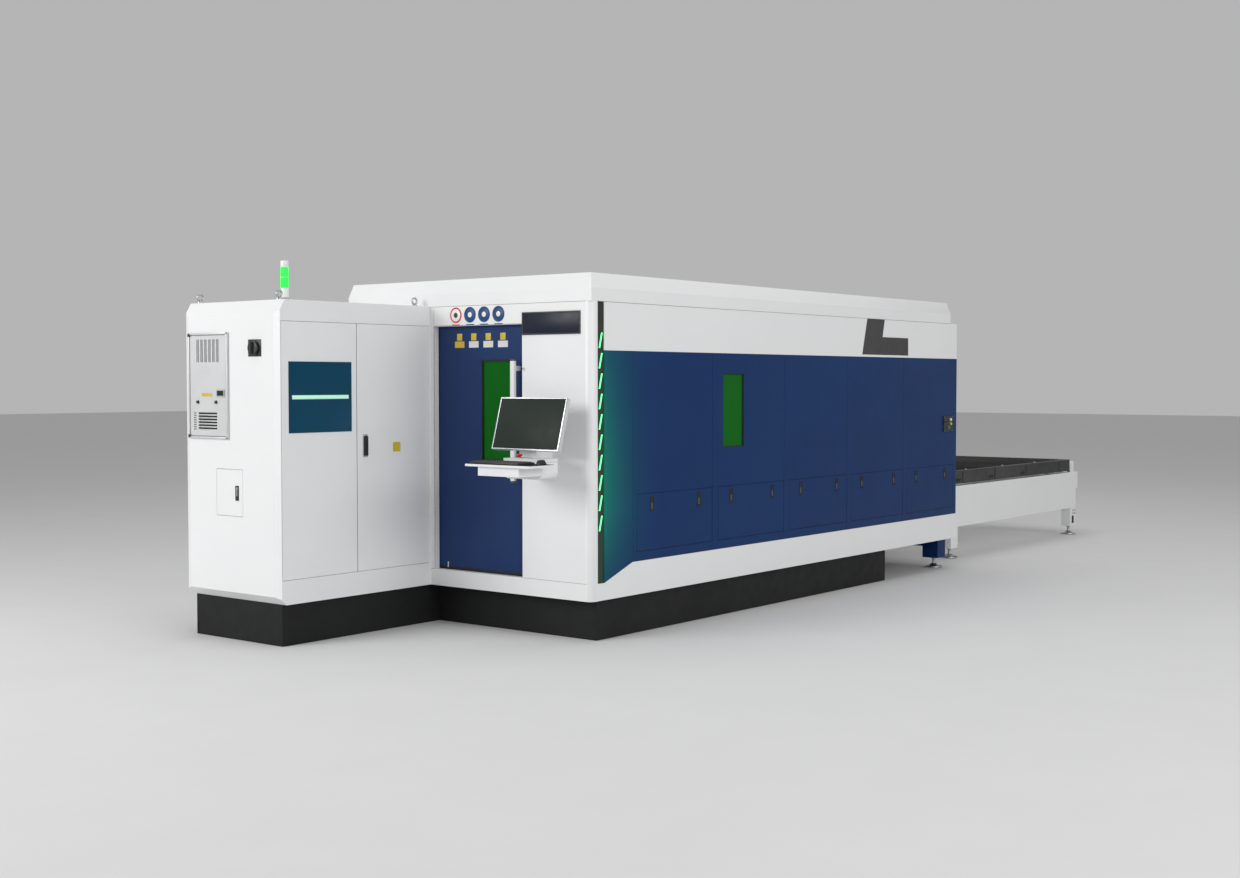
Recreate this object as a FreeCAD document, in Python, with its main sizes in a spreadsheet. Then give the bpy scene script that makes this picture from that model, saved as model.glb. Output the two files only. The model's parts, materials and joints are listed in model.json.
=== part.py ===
import FreeCAD, Part
import Sketcher
import os
import re

# Fiber laser cutting machine with a pallet changer, in millimetres.
#
# The sheet "dims" holds every driving size.  Lengths are counted from the foot of the enclosure's
# near corner: x along the machine from the operator end, y across it from the long side, z from the
# floor.  Each piece is then moved so that the whole machine's floor centre is the origin.

doc = FreeCAD.newDocument("laser_cutter")

# ---------------------------------------------------------------- driving sizes

SIZES = {
    # enclosure
    "enc_length": 4824,
    "enc_width": 2102,
    "wall": 40,
    "skirt_bottom": 248,
    "blue_bottom": 454,
    "blue_top": 1740,
    "wall_top": 2030,
    "flange": 8,
    "seam": 2,
    "corner_width": 58,
    "corner_radius": 45,
    "light_width": 62,
    "light_bottom": 352,
    "light_recess": 6,
    "kick_end": 400,
    "skirt_overrun": 26,
    "skirt_chamfer": 20,
    # roof
    "hood_top": 2200,
    "hood_step": 116,
    "hood_upright": 80,
    "hood_bevel": 25,
    "hood_wall": 30,
    "mouth_side": 25,
    "mouth_drop": 73,
    "mouth_rise": 267,
    # plinth
    "plinth_end_inset": 111,
    "plinth_side_inset": 52,
    "plinth_length": 3589,
    "plinth_wall": 16,
    "cab_plinth_inset_x": 45,
    "cab_plinth_inset_y": 37,
    # cutting bed
    "bed_gap": 70,
    "bed_beam": 140,
    "bed_start": 250,
    "bed_bottom": 330,
    "bed_top": 950,
    # pieces of one body run into each other by this much before they are joined
    "merge": 1,
    "foot_height": 87,
    "foot_pad": 14,
    "foot_pad_radius": 72,
    "foot_shoulder": 22,
    "foot_shoulder_radius": 45,
    "foot_neck_radius": 22,
    "foot_stem_radius": 12,
    "foot_nut": 14,
    "foot_nut_radius": 20,
    "cross_bottom": 180,
    "cross_height": 80,
    "cross_width": 120,
    "bed_end_gap": 4,
    "pan_wall": 5,
    "pan_clearance": 20,
    # pallets and their tracks
    "pallet_length": 3090,
    "pallet_width": 1490,
    "pallet_frame": 115,
    "pallet_bar": 60,
    "slat_rise": 10,
    "slat_height": 65,
    "slat_thick": 4,
    "slat_count": 30,
    "upper_track": 633,
    "lower_track": 403,
    "track_thick": 6,
    "track_reach": 95,
    "pallet_lift": 17,
    "pallet_travel": 3300,
    "track_start": 1500,
    "tread_gap": 0.3,
    "wheel_radius": 35,
    "wheel_width": 25,
    "axle_radius": 10,
    "axle_clearance": 0.05,
    "axle_seat": 25,
    "axle_end_gap": 2,
    "wheel_gap": 5,
    "axle_setback": 400,
    # exchange table
    "table_length": 3416,
    "table_gap": 26,
    "table_bottom": 271,
    "table_web": 6,
    "end_beam_width": 100,
    "end_beam_bottom": 467,
    "leg_length": 134,
    "leg_depth": 98,
    "end_leg_inset": 45,
    "inner_leg_start": 536,
    "stop_height": 112,
    "stop_length": 85,
    "stop_gap": 5,
    "stop_width": 40,
    "stop_crest": 0.6,
    # operator door, sliding behind the end wall
    "door_y": 546,
    "door_width": 752,
    "door_bottom": 353,
    "door_top": 1905,
    "door_leaf": 40,
    "door_lap": 16,
    "door_gap": 5,
    "pane_y": 662,
    "pane_width": 266,
    "pane_bottom": 1059,
    "pane_height": 631,
    "pane_thick": 12,
    "handle_inset": 48,
    "handle_width": 31,
    "handle_bottom": 936,
    "handle_length": 755,
    "handle_proud": 22,
    "handle_depth": 20,
    "stand_height": 30,
    "stand_inset": 3,
    "stand_low": 40,
    "stand_high": 70,
    # side window
    "side_pane_x": 1375,
    "side_pane_width": 245,
    "side_pane_bottom": 1120,
    "side_pane_height": 487,
    # lower access panels
    "panel_first": 438.5,
    "panel_width": 810,
    "panel_pitch": 879,
    "panel_bottom": 510,
    "panel_height": 355,
    "leaf_gap": 2,
    "leaf_skin": 3,
    "leaf_stiffener": 15,
    "leaf_inset": 24,
    "hinge_inset": 8,
    # push-button station
    "station_inset": 246,
    "station_width": 168,
    "station_bottom": 1139,
    "station_height": 131,
    "station_thick": 8,
    "station_button": 11,
    "station_hole_gap": 0.4,
    "station_button_length": 15,
    "station_button_back": 5,
    "stop_button_x": 32,
    "stop_button_z": 83,
    "upper_button_x": 116,
    "upper_button_z": 100,
    "lower_button_x": 117,
    "lower_button_z": 66,
    "start_button_x": 80,
    "start_button_z": 36,
    # electrical cabinet
    "cab_length": 1234,
    "cab_reach": 769,
    "cab_depth": 882,
    "cab_top": 2034,
    "cab_wall": 20,
    "cab_top_rise": 84,
    "cab_top_run": 50,
    "cab_foot_rise": 47,
    "cab_foot_run": 48,
    "cab_edge_run": 15,
    "cab_edge_depth": 45,
    "cab_frame": 19,
    "cab_jamb": 15,
    "cab_door_bottom": 391,
    "cab_door_top": 1909,
    "cab_seam": 630,
    "latch_x": 577,
    "latch_width": 28,
    "latch_bottom": 1101,
    "latch_height": 123,
    "latch_thick": 12,
    "latch_gap": 1,
    "latch_boss": 11,
    # cabinet side: air conditioner, hatch, isolator
    "air_start": 453,
    "air_width": 374,
    "air_bottom": 1211,
    "air_height": 638,
    "air_rim": 22,
    "air_proud": 12,
    "air_depth": 170,
    "vent_depth": 8,
    "slot_start": 81,
    "slot_bottom": 461,
    "slot_pitch": 38,
    "slot_width": 26,
    "slot_height": 136,
    "louvre_start": 102,
    "louvre_bottom": 56,
    "louvre_pitch": 18,
    "louvre_width": 181,
    "louvre_height": 11,
    "hatch_start": 332,
    "hatch_width": 248,
    "hatch_bottom": 750,
    "hatch_height": 282,
    "isolator_start": 210,
    "isolator_height": 1752,
    "isolator_radius": 42,
    "isolator_proud": 40,
    "isolator_gap": 1,
    "isolator_disc": 20,
    "isolator_grip": 18,
    "isolator_grip_reach": 36,
    # inside the cabinet
    "gear_west": 220,
    "gear_east": 120,
    "gear_bottom": 700,
    "gear_top": 1880,
    "gear_plate": 8,
    "gear_stand": 22,
    "gear_margin": 40,
    "gear_stay": 30,
    "source_east": 140,
    "source_length": 860,
    "source_setback": 120,
    "source_depth": 560,
    "source_height": 330,
    "source_front": 20,
    "source_margin": 30,
    # cabinet roof
    "eye_inset": 70,
    "eye_radius": 20,
    "eye_wire": 6,
    "eye_base": 18,
    "eye_foot": 10,
    "eye_sink": 2,
    "tower_x": 1060,
    "tower_start": 147,
    "tower_base": 8,
    "tower_base_radius": 45,
    "tower_pole": 63,
    "tower_pole_radius": 24,
    "tower_lens": 165,
    "tower_lens_radius": 24,
    # operator console
    "console_y": 278,
    "console_width": 300,
    "console_bottom": 985,
    "console_top": 1150,
    "console_depth": 160,
    "arm_width": 130,
    "console_round": 40,
    "deck_top": 1104,
    "deck_reach": 300,
    "tray_front": 525,
    "tray_width": 500,
    "tray_thick": 14,
    "tray_top": 1076,
    "carrier_inset": 25,
    "carrier_side": 150,
    "carrier_width": 320,
    "carrier_drop": 68,
    "carrier_height": 55,
    "key_front": 512,
    "key_depth": 150,
    "key_width": 380,
    "key_shift": 40,
    "key_thick": 18,
    "post_x": 185,
    "post_width": 40,
    "post_depth": 30,
    "post_top": 1320,
    "screen_width": 515,
    "screen_height": 318,
    "screen_thick": 32,
    "screen_lean": 16,
    "screen_bottom": 1155,
    "screen_front": 285,
    "tilt_height": 1300,
    "tilt_radius": 12,
    "tilt_gap": 0.05,
    "ear_gap": 3,
    "ear_width": 12,
    "ear_front": 35,
    "ear_back": 14,
    "ear_half_height": 16,
    "estop_x": 262,
    "estop_y": 335,
    "estop_radius": 17,
    "estop_stem": 9,
    "estop_stem_gap": 0.4,
    "estop_rise": 12,
    "estop_head": 14,
    "estop_seat": 15,
    # gantry
    "rail_width": 30,
    "rail_height": 30,
    "rack_width": 20,
    "rack_height": 24,
    "rail_near_end": 30,
    "rail_far_end": 20,
    "gantry_gap": 1,
    "gantry_wall_gap": 75,
    "gantry_depth": 220,
    "gantry_height": 300,
    "gantry_plate": 14,
    "guide_proud": 12,
    "guide_height": 25,
    "guide_inset": 60,
    "guide_low": 45,
    "guide_high": 70,
    "guide_gap": 1,
    "nozzle_x": 1640,
    "nozzle_z": 830,
    "head_offset": 110,
    "carriage_width": 220,
    "carriage_depth": 62,
    "carriage_bottom": 1010,
    "carriage_height": 430,
    "head_radius": 34,
    "head_height": 360,
    "head_taper": 50,
    "nozzle_radius": 12,
    "nozzle_tip": 4,
    "nozzle_length": 20,
    "head_gap": 4,
    "slide_width": 90,
    "slide_low": 40,
    "slide_high": 20,
}

# Places that follow from the sizes: the cabinet stands off the far side, and the table off the exit wall.
# The machine's own extents give the floor centre, which is the origin.
DERIVED = {
    "table_end": "enc_length + table_length",
    "inner_leg_x": "enc_length + inner_leg_start",
    "station_x": "enc_length - station_inset",
    "cab_y": "enc_width - cab_reach",
    "air_y": "cab_y + air_start",
    "hatch_y": "cab_y + hatch_start",
    "isolator_y": "cab_y + isolator_start",
    "tower_y": "cab_y + tower_start",
    "origin_x": "(table_end - cab_length - isolator_gap - isolator_proud) / 2",
    "origin_y": "(cab_y + cab_depth - station_button_length - station_button_back) / 2",
}
ORIGIN = ("origin_x", "origin_y", "0")
ALIASES = list(SIZES) + list(DERIVED)


def cell(alias):
    """The sheet's cell that holds a size."""
    return "B%d" % (ALIASES.index(alias) + 1)


def fill(alias, content):
    """Write one size or formula on the sheet under its own name."""
    sheet.set(cell(alias).replace("B", "A"), alias)
    sheet.set(cell(alias), content)
    sheet.setAlias(cell(alias), alias)


sheet = doc.addObject("Spreadsheet::Sheet", "dims")
for size_name, size in SIZES.items():
    fill(size_name, str(size))
for size_name, formula_text in DERIVED.items():
    fill(size_name, "=" + re.sub("[a-z][a-z_]+", lambda m: cell(m.group(0)), formula_text))
doc.recompute()


# ---------------------------------------------------------------- helpers

def bound(expression):
    """The same expression with each alias read from the sheet."""
    return re.sub(r"[a-z][a-z_]*", lambda m: "dims." + m.group(0) if m.group(0) in ALIASES else m.group(0),
                  expression)


def bind(item, **formulas):
    """Bind an object's sizes to the sheet."""
    for name, formula in formulas.items():
        item.setExpression(name, bound(str(formula)))
    return item


def place(item, x, y, z):
    """Bind an object's place, counted from the enclosure's foot."""
    for axis, value, shift in zip("xyz", (x, y, z), ORIGIN):
        item.setExpression("Placement.Base." + axis, bound("(%s) - %s" % (value, shift)))
    return item


def turn(item, axis, degrees):
    """Turn an object about its own origin."""
    item.Placement = FreeCAD.Placement(item.Placement.Base, FreeCAD.Rotation(FreeCAD.Vector(*axis), degrees))
    return item


def box(x, y, z, length, width, height, label="block"):
    """A block by its lowest corner and its sizes."""
    item = doc.addObject("Part::Box", label)
    bind(item, Length=length, Width=width, Height=height)
    return place(item, x, y, z)


def span(x, y, z, label="block"):
    """A block by its two ends along each axis."""
    sizes = ["(%s) - (%s)" % (high, low) for low, high in (x, y, z)]
    return box(x[0], y[0], z[0], *sizes, label=label)


def cylinder(x, y, z, radius, length, axis="z", label="round"):
    """A cylinder from its first end's centre, along x, y or z."""
    item = doc.addObject("Part::Cylinder", label)
    if axis == "x":
        turn(item, (0, 1, 0), 90)
    if axis == "y":
        turn(item, (1, 0, 0), -90)
    bind(item, Radius=radius, Height=length)
    return place(item, x, y, z)


def cone(x, y, z, first, last, length, label="cone"):
    """An upright cone from its first radius to its last."""
    item = doc.addObject("Part::Cone", label)
    bind(item, Radius1=first, Radius2=last, Height=length)
    return place(item, x, y, z)


def joined(pieces, label="joined"):
    """Several solids as one piece."""
    item = doc.addObject("Part::MultiFuse", label)
    item.Shapes = pieces
    item.Refine = True
    return item


def group(pieces, label):
    """Several separate solids in one node."""
    item = doc.addObject("Part::Compound", label)
    item.Links = pieces
    return item


def cut(base, tools, label="cut"):
    """A solid with others taken out of it."""
    item = doc.addObject("Part::Cut", label)
    item.Base = base
    item.Tool = tools[0] if len(tools) == 1 else joined(tools)
    item.Refine = True
    return item


def prism(points, place_at, depth, plane="XZ_Plane", label="prism"):
    """A PartDesign body: a closed outline padded across its plane.

    An outline on the XZ plane is padded towards +y, and one on the XY plane towards +z.
    """
    body = doc.addObject("PartDesign::Body", label)
    sketch = body.newObject("Sketcher::SketchObject", label + "_outline")
    origin_plane = [f for f in body.Origin.OriginFeatures if f.Role == plane][0]
    sketch.AttachmentSupport = [(origin_plane, "")]
    sketch.MapMode = "FlatFace"
    rough = [[sheet_value(c) for c in point] for point in points]
    count = len(points)
    for i in range(count):
        start, end = rough[i], rough[(i + 1) % count]
        sketch.addGeometry(Part.LineSegment(FreeCAD.Vector(*start, 0), FreeCAD.Vector(*end, 0)), False)
    for i in range(count):
        sketch.addConstraint(Sketcher.Constraint("Coincident", i, 2, (i + 1) % count, 1))
    for i, point in enumerate(points):
        for kind, formula, value in zip(("DistanceX", "DistanceY"), point, rough[i]):
            index = sketch.addConstraint(Sketcher.Constraint(kind, -1, 1, i, 1, value))
            sketch.renameConstraint(index, "%s_%d" % (kind, i))
            sketch.setExpression("Constraints.%s_%d" % (kind, i), bound(formula))
    doc.recompute()
    pad = body.newObject("PartDesign::Pad", label + "_pad")
    pad.Profile = sketch
    pad.Reversed = plane == "XZ_Plane"
    bind(pad, Length=depth)
    body.Tip = pad
    return place(body, *place_at)


def sheet_value(formula):
    """The number that an expression on the sheet gives now."""
    numbers = re.sub(r"[a-z][a-z_]*", lambda m: repr(float(sheet.get(m.group(0)))), formula)
    return float(FreeCAD.Units.Quantity(numbers).Value)


# ---------------------------------------------------------------- lines that several pieces share

LIGHT_END = "corner_width + light_width"
EXIT_FACE = "enc_length - wall"
FAR_WALL = "enc_width - wall"
BED_END = "enc_length - wall - bed_end_gap"
AXIS_Y = "enc_width / 2"
PALLET_NEAR = "enc_width / 2 - pallet_width / 2"
PALLET_FAR = "enc_width / 2 + pallet_width / 2"
PALLET_EAST = "table_end - end_beam_width * 2"
PALLET_WEST = PALLET_EAST + " - pallet_length"
BEAM_NEAR = PALLET_NEAR + " - table_web"
BEAM_FAR = PALLET_FAR + " + table_web"
TABLE_WEST = "enc_length + table_gap"
BEAM_EAST = "table_end - end_beam_width"
GANTRY_WEST = "nozzle_x - head_offset - gantry_depth"
GANTRY_FACE = "nozzle_x - head_offset"
RAIL_TOP = "bed_top + rail_height"
GANTRY_BOTTOM = RAIL_TOP + " + gantry_gap"
CAB_WEST = "0 - cab_length"
CAB_BACK = "cab_y + cab_depth"


# ---------------------------------------------------------------- base

def plinth():
    """The kick boards under the enclosure and the cabinet, butted together in an L-shaped ring."""
    west, east = "plinth_end_inset", "plinth_end_inset + plinth_length"
    near, far = "plinth_side_inset", "enc_width - plinth_side_inset"
    cab_west, cab_east = "cab_plinth_inset_x - cab_length", "plinth_end_inset * 2"
    cab_near, cab_far = "cab_y + cab_plinth_inset_y", CAB_BACK + " - cab_plinth_inset_y"
    inner = " + plinth_wall"
    outer = " - plinth_wall"
    boards = [
        ((west, east), (near, near + inner)),
        ((east + outer, east), (near + inner, far)),
        ((cab_east + outer, east + outer), (far + outer, far)),
        ((cab_east + outer, cab_east), (far, cab_far + outer)),
        ((cab_west, cab_east), (cab_far + outer, cab_far)),
        ((cab_west, cab_west + inner), (cab_near, cab_far + outer)),
        ((cab_west + inner, west + inner), (cab_near, cab_near + inner)),
        ((west, west + inner), (near + inner, cab_near)),
    ]
    return group([span(x, y, ("0", "skirt_bottom"), "board") for x, y in boards], "plinth")


LEG_XS = ("bed_start", "(bed_start + enc_length - wall - bed_end_gap - bed_beam) / 2",
          BED_END + " - bed_beam")
BED_INSIDE = ("bed_gap + bed_beam", "enc_width - bed_gap - bed_beam")
TIE_TOP = "cross_bottom + cross_height"


def bed_frame():
    """The welded cutting bed: two box beams on legs, tied across underneath."""
    members = []
    for low in ("bed_gap", "enc_width - bed_gap - bed_beam"):
        members.append(span(("bed_start", BED_END), (low, low + " + bed_beam"), ("bed_bottom", "bed_top"),
                            "beam"))
        for x in LEG_XS:
            members.append(box(x, low, "foot_height", "bed_beam", "bed_beam", "bed_bottom - foot_height",
                               "leg"))
    for x in LEG_XS:
        members.append(span((x, x + " + cross_width"), BED_INSIDE, ("cross_bottom", TIE_TOP), "tie"))
    return group(members, "bed_frame")


def levelling_foot(x, y):
    """One machine foot: a round pad, its cone and the threaded stem up to the leg."""
    pad = cylinder(x, y, "0", "foot_pad_radius", "foot_pad")
    shoulder = cone(x, y, "foot_pad", "foot_shoulder_radius", "foot_neck_radius", "foot_shoulder")
    stem = cylinder(x, y, "foot_pad", "foot_stem_radius", "foot_height - foot_pad")
    nut = cylinder(x, y, "foot_height - foot_nut", "foot_nut_radius", "foot_nut")
    return joined([pad, shoulder, stem, nut])


END_LEG_X = "table_end - end_leg_inset - leg_length"


def levelling_feet():
    """All the machine's levelling feet, under the bed's legs and the table's legs."""
    feet = []
    for x in LEG_XS:
        for y in ("bed_gap + bed_beam / 2", "enc_width - bed_gap - bed_beam / 2"):
            feet.append(levelling_foot(x + " + bed_beam / 2", y))
    for x in ("inner_leg_x", END_LEG_X):
        for y in (BEAM_NEAR + " + leg_depth / 2", BEAM_FAR + " - leg_depth / 2"):
            feet.append(levelling_foot(x + " + leg_length / 2", y))
    return group(feet, "levelling_feet")


def scrap_tray():
    """An open pan on the bed's cross ties that catches slag and offcuts."""
    high = "lower_track - track_thick - pan_clearance"
    x = ("track_start", BED_END + " - bed_beam")
    y = (BED_INSIDE[0] + " + track_reach", BED_INSIDE[1] + " - track_reach")
    hollow = span(*[(a + " + pan_wall", b + " - pan_wall") for a, b in (x, y)],
                  (TIE_TOP + " + pan_wall", high + " + merge"))
    return cut(span(x, y, (TIE_TOP, high)), [hollow], "scrap_tray")


# ---------------------------------------------------------------- enclosure

def end_wall():
    """The operator end: one folded sheet with a rounded near corner and the doorway."""
    wall = span(("0", "wall"), ("corner_radius", "enc_width"), ("skirt_bottom", "wall_top"))
    corner = cylinder("corner_radius", "corner_radius", "skirt_bottom", "corner_radius",
                      "wall_top - skirt_bottom")
    corner.Angle = 90
    turn(corner, (0, 0, 1), 180)
    corner_side = span(("corner_radius", "corner_width"), ("0", "wall"), ("skirt_bottom", "wall_top"))
    sill = span(("0", "plinth_end_inset + plinth_wall"), ("wall", FAR_WALL),
                ("skirt_bottom", "skirt_bottom + flange"))
    doorway = span(("0 - merge", "wall + merge"), ("door_y", "door_y + door_width"),
                   ("door_bottom", "door_top"))
    return cut(joined([wall, corner, corner_side, sill]), [doorway], "end_wall")


def exit_wall():
    """The wall at the table end, with the mouth that the pallets pass through and its top strip."""
    wall = span((EXIT_FACE, "enc_length"), ("wall", FAR_WALL), ("skirt_bottom", "wall_top"))
    strip = span(("enc_length - hood_step", EXIT_FACE + " + merge"), ("wall", FAR_WALL),
                 ("wall_top - flange", "wall_top"))
    mouth = span((EXIT_FACE + " - merge", "enc_length + merge"),
                 (PALLET_NEAR + " - mouth_side", PALLET_FAR + " + mouth_side"),
                 ("lower_track - mouth_drop", "upper_track + mouth_rise"))
    return cut(joined([wall, strip]), [mouth], "exit_wall")


def side_upper_band():
    """The white band above the blue panel on the long side."""
    return span((LIGHT_END, "enc_length"), ("0", "wall"), ("blue_top", "wall_top"), "side_upper_band")


PANEL_COUNT = 5


def panel_x(number):
    """Where the opening of one lower access panel starts."""
    return "panel_first + %d * panel_pitch" % number


SHEET = ("0", "wall")
PANEL_TOP = "panel_bottom + panel_height"
SIDE_PANE_END = "side_pane_x + side_pane_width"
SIDE_PANE_TOP = "side_pane_bottom + side_pane_height"
WINDOW_BAY = 1


def side_bay(number):
    """The sheets of one bay of the long side: its post, its sill and the wall above its access panel."""
    start = panel_x(number)
    west = "kick_end" if number == 0 else panel_x(number - 1) + " + panel_width"
    end = start + " + panel_width"
    east = "enc_length" if number == PANEL_COUNT - 1 else end
    x = (west + " + seam", east)
    sheets = [
        span(x, SHEET, ("blue_bottom", "panel_bottom"), "sill"),
        span((x[0], start), SHEET, ("panel_bottom", PANEL_TOP), "post"),
    ]
    if number == PANEL_COUNT - 1:
        sheets.append(span((end, east), SHEET, ("panel_bottom", PANEL_TOP), "post"))
    if number == WINDOW_BAY:
        sheets.append(span((x[0], "side_pane_x"), SHEET, (PANEL_TOP, "blue_top"), "upper"))
        sheets.append(span((SIDE_PANE_END, east), SHEET, (PANEL_TOP, "blue_top"), "upper"))
        sheets.append(span(("side_pane_x", SIDE_PANE_END), SHEET, (PANEL_TOP, "side_pane_bottom"), "below"))
        sheets.append(span(("side_pane_x", SIDE_PANE_END), SHEET, (SIDE_PANE_TOP, "blue_top"), "above"))
    else:
        sheets.append(span(x, SHEET, (PANEL_TOP, "blue_top"), "upper"))
    return sheets


def side_blue_panel():
    """The blue wall of the long side: a near sheet and five bays, with a fine seam between each two."""
    outline = [
        (LIGHT_END, "light_bottom"), ("kick_end", "blue_bottom"), ("kick_end", "blue_top"),
        (LIGHT_END, "blue_top"),
    ]
    sheets = [prism(outline, ("0", "0", "0"), "wall", label="near_sheet")]
    for number in range(PANEL_COUNT):
        sheets += side_bay(number)
    return group(sheets, "side_blue_panel")


def side_skirt():
    """The white skirt under the blue panel, kicked down at the near end, with its sill on the plinth."""
    near = span(("corner_width", LIGHT_END), SHEET, ("skirt_bottom", "light_bottom"), "near_skirt")
    kick = [
        (LIGHT_END, "skirt_bottom"), ("kick_end", "skirt_bottom"), ("kick_end", "blue_bottom"),
        (LIGHT_END, "light_bottom"),
    ]
    long = [
        ("kick_end", "skirt_bottom"), ("enc_length + skirt_overrun - skirt_chamfer", "skirt_bottom"),
        ("enc_length + skirt_overrun", "skirt_bottom + skirt_chamfer"),
        ("enc_length + skirt_overrun", "blue_bottom"), ("kick_end", "blue_bottom"),
    ]
    faces = [prism(outline, ("0", "0", "0"), "wall", label=label)
             for outline, label in ((kick, "kick_skirt"), (long, "long_skirt"))]
    sill = span(("plinth_end_inset + plinth_wall", "plinth_end_inset + plinth_length"),
                ("wall", "plinth_side_inset + plinth_wall"), ("skirt_bottom", "skirt_bottom + flange"),
                "skirt_sill")
    return group([near] + faces + [sill], "side_skirt")


def light_channel():
    """The black channel beside the corner that holds the light bars."""
    return span(("corner_width", LIGHT_END), ("light_recess", "wall"), ("light_bottom", "wall_top"),
                "light_channel")


REAR_BLUE_X = (LIGHT_END, "enc_length - hood_step")


def rear_wall():
    """The white sheets of the far side, around its blue panel, with their sill on the plinth."""
    y = (FAR_WALL, "enc_width")
    west, east = REAR_BLUE_X
    sheets = [
        span(("wall", "enc_length"), y, ("skirt_bottom", "blue_bottom"), "rear_skirt"),
        span(("wall", "enc_length"), y, ("blue_top", "wall_top"), "rear_band"),
        span(("wall", west), y, ("blue_bottom", "blue_top"), "rear_post"),
        span((east, "enc_length"), y, ("blue_bottom", "blue_top"), "rear_post"),
        span(("plinth_end_inset + plinth_wall", "plinth_end_inset + plinth_length"),
             ("enc_width - plinth_side_inset - plinth_wall", FAR_WALL),
             ("skirt_bottom", "skirt_bottom + flange"), "rear_sill"),
    ]
    return group(sheets, "rear_wall")


def rear_blue_panel():
    """The blue panel of the far side."""
    return span(REAR_BLUE_X, (FAR_WALL, "enc_width"), ("blue_bottom", "blue_top"), "rear_blue_panel")


def hood():
    """The roof: an open-bottomed pan with a low upright rim and bevelled upper edges."""
    rim = box("0", "0", "wall_top", "enc_length - hood_step", "enc_width", "hood_upright")
    crown = doc.addObject("Part::Wedge", "crown")
    turn(crown, (1, 0, 0), 90)
    bind(crown, Xmin=0, Ymin=0, Zmin=0, Xmax="enc_length - hood_step", Zmax="enc_width",
         Ymax="hood_top - wall_top - hood_upright", X2min="hood_bevel", Z2min="hood_bevel",
         X2max="enc_length - hood_step - hood_bevel", Z2max="enc_width - hood_bevel")
    place(crown, "0", "enc_width", "wall_top + hood_upright")
    hollow = span(("hood_wall", "enc_length - hood_step - hood_wall"), ("hood_wall", "enc_width - hood_wall"),
                  ("wall_top - merge", "hood_top - hood_wall"))
    return cut(joined([rim, crown]), [hollow], "hood")


def side_window():
    """The green viewing pane of the long side, set a little into its opening."""
    return box("side_pane_x", "wall / 4", "side_pane_bottom", "side_pane_width", "pane_thick",
               "side_pane_height", "side_window")


def leaf(x, z, length, height, face, label):
    """A hinged cover on the long side: a thin skin with a stiffening tray behind it."""
    skin = box(x + " + leaf_gap", face, z + " + leaf_gap", length + " - 2 * leaf_gap", "leaf_skin",
               height + " - 2 * leaf_gap")
    tray = box(x + " + leaf_inset", face + " + leaf_skin - merge", z + " + leaf_inset",
               length + " - 2 * leaf_inset", "leaf_stiffener + merge", height + " - 2 * leaf_inset")
    return joined([skin, tray], label)


def access_panels():
    """The lower access panels, each hinged along its lower edge."""
    return [leaf(panel_x(n), "panel_bottom", "panel_width", "panel_height", "0", "access_panel_%d" % (n + 1))
            for n in range(PANEL_COUNT)]


def operator_door():
    """The sliding door leaf behind the doorway, with the opening for its pane."""
    panel = span(("wall + door_gap", "wall + door_gap + door_leaf"),
                 ("door_y - door_lap", "door_y + door_width + door_lap"),
                 ("door_bottom - door_lap", "door_top + door_lap"))
    opening = box("wall", "pane_y", "pane_bottom", "door_leaf * 2", "pane_width", "pane_height")
    return cut(panel, [opening], "operator_door")


def door_window():
    """The green pane of the sliding door."""
    return box("wall + door_gap + wall / 4", "pane_y", "pane_bottom", "pane_thick", "pane_width",
               "pane_height",
               "door_window")


def door_handle():
    """The long upright bar of the door on its two stand-offs."""
    low = "door_y + handle_inset"
    bar = box("0 - handle_proud", low, "handle_bottom", "handle_depth", "handle_width", "handle_length")
    pieces = [bar]
    for z in ("handle_bottom + stand_low", "handle_bottom + handle_length - stand_high"):
        pieces.append(span(("0 - handle_proud + handle_depth - merge", "wall + door_gap"),
                           (low + " + stand_inset", low + " + handle_width - stand_inset"),
                           (z, z + " + stand_height")))
    return joined(pieces, "door_handle")


# ---------------------------------------------------------------- push-button station

STATION_BUTTONS = {
    "station_stop_button": ("station_x + stop_button_x", "station_bottom + stop_button_z"),
    "station_upper_button": ("station_x + upper_button_x", "station_bottom + upper_button_z"),
    "station_lower_button": ("station_x + lower_button_x", "station_bottom + lower_button_z"),
    "station_start_button": ("station_x + start_button_x", "station_bottom + start_button_z"),
}


def station_plate():
    """The plate of the push-button station, drilled for its buttons."""
    plate = box("station_x", "0 - station_thick", "station_bottom", "station_width", "station_thick",
                "station_height")
    holes = [cylinder(x, "0 - station_thick - merge", z, "station_button + station_hole_gap",
                      "station_thick + 2 * merge", "y") for x, z in STATION_BUTTONS.values()]
    return cut(plate, holes, "station_plate")


def station_buttons():
    """The round push buttons of the station."""
    return [cylinder(x, "0 - station_button_length - station_button_back", z, "station_button",
                     "station_button_length", "y", label) for label, (x, z) in STATION_BUTTONS.items()]


# ---------------------------------------------------------------- electrical cabinet

def cabinet_outline(inset):
    """The cabinet's outline seen from the front, drawn in by the wall thickness, from its foot at x = 0."""
    corner = inset + " / 2"
    return [
        ("cab_foot_run + " + corner, inset), ("cab_length - " + inset, inset),
        ("cab_length - " + inset, "cab_top - skirt_bottom - " + inset),
        ("cab_top_run + " + corner, "cab_top - skirt_bottom - " + inset),
        (inset, "cab_top - skirt_bottom - cab_top_rise - " + corner), (inset, "cab_foot_rise + " + corner),
    ]


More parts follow.
